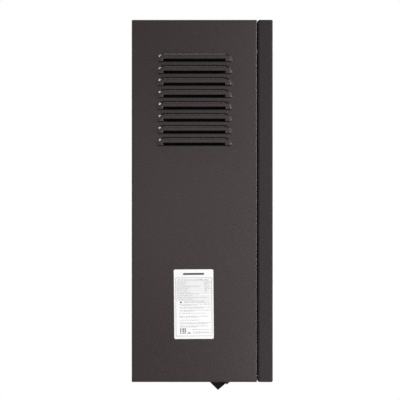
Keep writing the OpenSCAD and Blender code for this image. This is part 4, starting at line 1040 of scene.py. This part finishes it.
def transformer(at):
    place = (34, 46)
    core = Piece(at)
    core.prism(moved(rounded(40.4, 34.4, 0.5), *place), 4, 26.2, 0.3)
    core.done("transformer_core", "casing", "core", "board")
    winding = Piece(at)
    winding.prism(moved(rounded(24, 35.6, 3), *place), BOARD_TOP, 27, 0.6)
    winding.done("transformer_winding", "casing", "tape", "board")


def board_sockets(at, pins):
    sockets = Piece(at)
    y = 10
    for x in (71, 88, 105, 122):
        wall = moved(rounded(14.4, 10.4, 0.5), x, y), moved(rounded(12.4, 8.2, 0.3), x, y)
        sockets.frame(*wall, BOARD_TOP, 12.9)
        sockets.prism(moved(rounded(12.6, 8.4, 0.3), x, y), BOARD_TOP, 12.15)
        for step in (-3.75, -1.25, 1.25, 3.75):
            pins.prism(rectangle(x + step, y, 0.7, 0.7), 11.8, 12.8, 0.1)
    sockets.done("board_sockets", "casing", "white_plastic", "terminal")


def capacitors(at):
    sleeves, tops = Piece(at), Piece(at)
    y, can_top = 46, 22.1
    sleeve = [(5, BOARD_TOP), (6.7, BOARD_TOP), (6.7, 21.4), (6.3, can_top), (5.6, 22.3)]
    sleeve.append((5, can_top))
    for x in (89, 107, 125):
        sleeves.lathe(sleeve, x, y)
        tops.disc(5.5, 21.5, 22.15, x, y, 32, 0.1)
        for w, h in ((6.4, 0.5), (0.5, 6.4)):
            tops.prism(rectangle(x, y, w, h), can_top, 22.3)
    sleeves.done("capacitor_sleeves", "casing", "gloss_black", "board")
    tops.done("capacitor_tops", "casing", "steel", "board")


def board_chips(at, pins):
    """The processor, four small chips and three columns of resistors, all with their legs."""
    chips = Piece(at)
    cx, cy = 105, 84
    chips.prism(moved(rounded(26.3, 26.3, 0.5), cx, cy), BOARD_TOP, 5.15, 0.25)
    for step in range(-10, 11, 2):
        for side in (-14.2, 14.2):
            pins.prism(rectangle(cx + step, cy + side, 0.8, 2.2), LEGS_LOW, 2.3)
            pins.prism(rectangle(cx + side, cy + step, 2.2, 0.8), LEGS_LOW, 2.3)
    for x, y in ((16, 92), (16, 112), (44, 88), (44, 104)):
        chips.prism(moved(rounded(10, 6.4, 0.3), x, y), 1.9, 3.6, 0.2)
        for step in (-3.8, -1.3, 1.3, 3.8):
            for side in (-3.9, 3.9):
                pins.prism(rectangle(x + step, y + side, 0.6, 1.8), LEGS_LOW, 2.2)
    chance = random.Random(3)
    for column in range(3):
        for row in range(12):
            x, y = 134 + 5.6 * column, 70 + 5.2 * row + chance.uniform(-0.4, 0.4)
            pins.prism(rectangle(x, y, 3.4, 1.7), LEGS_LOW, 2.0)
            chips.prism(rectangle(x, y, 2.3, 1.75), LEGS_LOW, 2.15)
    chips.done("board_chips", "casing", "black_plastic", "board")


def board_details():
    """Shells of their own materials over the board's plain blocks, and its small parts."""
    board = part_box("control_board")
    at = seat((board[0].x / MM, board[1].y / MM, board[0].z / MM))
    pins = Piece(at)
    transformer(at)
    board_sockets(at, pins)
    capacitors(at)
    board_chips(at, pins)
    pins.done("board_pins", "casing", "steel", "board")


def electrical_details():
    """Relay lids, terminal screws and the thermostat's blade terminals."""
    relays = middle("power_relays")
    lids = Piece(seat((relays.x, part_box("power_relays")[0].y / MM, relays.z)))
    outer, inner = rounded(18.4, 27.4, 1), rounded(16.8, 25.8, 0.6)
    for x in (-30, 0, 30):
        for y in (-16.5, 16.5):
            lids.frame(moved(outer, x, y), moved(inner, x, y), SUNK, 0.35)
            lids.disc(1.3, SUNK, 0.3, x + 5.5, y + 10, 20)
    lids.done("relay_lids", "casing", "relay")

    block = middle("terminal_block")
    well_depth, well_lift, pole_pitch = 6, 3, 14
    at = (block.x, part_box("terminal_block")[0].y / MM + well_depth, block.z + well_lift)
    wells = Piece(seat(at))
    for pole in range(-2, 3):
        screw(wells, pole_pitch * pole, 0, 3.0, SUNK)
    wells.done("terminal_screws", "casing", "steel", "terminal")

    thermostat_foot = (19.8, -199, -185.4)
    blades = Piece(seat(thermostat_foot, up=(0, 1, 0)))
    for x in (-8, 8):
        blades.prism(rectangle(x, 0, 6.3, 0.8), SUNK, 8.5, 0.3)
        blades.prism(rectangle(x, 0, 8.5, 3), SUNK, 1)
    blades.done("thermostat_blades", "casing", "brass")


# Every added piece

rating_label()
control_panel()
pressure_gauge()
pipe_ends()
hose_ferrules()
hose_barbs()
motor_details()
terminal_box_details()
tank_details()
charge_valve()
board_details()
electrical_details()
rocker_marks()
fasteners()
cover_gasket()
vent_filters()


# Floor, background, lamps and camera: all in metres

CENTRE = (0, -0.13, -0.28)
LEFT_FACE = -0.195

LAMPS = (  # name, place, what it points at, size, watts
    # From high behind: the light lines along the folds of the louvres and of the cover
    ("key", (-1.10, 3.90, 4.50), CENTRE, (0.8, 0.8), 510),
    ("top", (-0.75, -0.13, 3.4), CENTRE, (0.9, 0.9), 16),
    # Tall strips behind and in front: the louvres' ends and the front folds
    ("left", (-0.45, 2.2, -0.28), CENTRE, (0.15, 0.8), 8),
    ("right", (-0.5, -2.4, 0.8), CENTRE, (0.3, 2.2), 30),
    ("strip", (-0.80, -1.72, -0.15), CENTRE, (0.1, 1.1), 22),
    # Weak cards before the left side: the soft gradient over its paint
    ("card", (-1.6, -0.44, -0.28), (LEFT_FACE, -0.3, -0.28), (0.3, 1.1), 3.1),
    ("foot card", (-1.6, -0.42, -0.74), (LEFT_FACE, -0.3, -0.68), (0.3, 0.35), 0.9),
    ("middle card", (-1.6, -0.06, -0.28), (LEFT_FACE, -0.06, -0.28), (0.22, 0.36), 0.35),
    # The sides that the photograph doesn't show
    ("fill", (1.9, -0.6, 0.0), CENTRE, (1.2, 1.2), 15),
    ("rear", (0.5, 1.9, 0.3), CENTRE, (1.2, 1.2), 7),
)


def stage():
    """A round floor that fades out towards its rim and can't be seen from below."""
    radius, foot = 2.2, (0, -0.12, -0.70)
    fade_start, fade_end = 1.2, 2.1
    floor = bmesh.new()
    bmesh.ops.create_circle(floor, cap_ends=True, radius=radius, segments=96)
    data = bpy.data.meshes.new("floor")
    floor.to_mesh(data)
    floor.free()
    data.transform(Matrix.Translation(foot))
    made = added("floor", data)
    look = Look("floor", (0.82, 0.82, 0.82), 0.8, specular=0.1)
    look.shade((look.level(look.noise(60, 4.0), 0.4, 0.7, 0.0, 0.5), (0.80, 0.80, 0.80)))
    far = look.node("ShaderNodeVectorMath", {0: look.place}, operation="LENGTH").outputs["Value"]
    faded = look.level(far, fade_end, fade_start)
    below = look.node("ShaderNodeNewGeometry").outputs["Backfacing"]
    look.set("Alpha", look.math("MULTIPLY", faded, look.math("SUBTRACT", 1.0, below)))
    data.materials.append(look.material)


def background():
    """White to the camera and in gloss and glass; a plain level of light everywhere else."""
    plain_level = 0.06
    world = bpy.data.worlds.new("studio")
    bpy.context.scene.world = world
    world.use_nodes = True
    nodes, links = world.node_tree.nodes, world.node_tree.links
    path = nodes.new("ShaderNodeLightPath")
    seen = path.outputs["Is Camera Ray"]
    for name in ("Is Glossy Ray", "Is Transmission Ray"):
        either = nodes.new("ShaderNodeMath")
        either.operation = "MAXIMUM"
        links.new(seen, either.inputs[0])
        links.new(path.outputs[name], either.inputs[1])
        seen = either.outputs[0]
    strength = nodes.new("ShaderNodeMapRange")
    strength.inputs["To Min"].default_value = plain_level
    links.new(seen, strength.inputs["Value"])
    links.new(strength.outputs["Result"], nodes["Background"].inputs["Strength"])
    nodes["Background"].inputs["Color"].default_value = (1, 1, 1, 1)


def softbox(name, at, aim, size, watts):
    """An area lamp that the camera doesn't see."""
    data = bpy.data.lights.new(name, "AREA")
    data.shape = "RECTANGLE"
    data.size, data.size_y = size
    data.energy = watts
    made = added(name, data)
    made.location = at
    made.rotation_euler = (Vector(aim) - Vector(at)).to_track_quat("-Z", "Y").to_euler()
    made.visible_camera = False


def camera():
    """Looks straight at the left side from 20 m, so that the perspective is almost nil."""
    distance, picture_width = 20, 0.7597
    picture_middle = (-0.1298, -0.2722)
    data = bpy.data.cameras.new("camera")
    data.sensor_width = 36
    data.lens = data.sensor_width * distance / picture_width
    data.clip_end = 100
    made = added("camera", data)
    made.location = (LEFT_FACE - distance, *picture_middle)
    made.rotation_euler = (math.radians(90), 0, math.radians(-90))
    bpy.context.scene.camera = made


stage()
background()
for lamp in LAMPS:
    softbox(*lamp)
camera()
bpy.context.scene.view_settings.view_transform = "Standard"
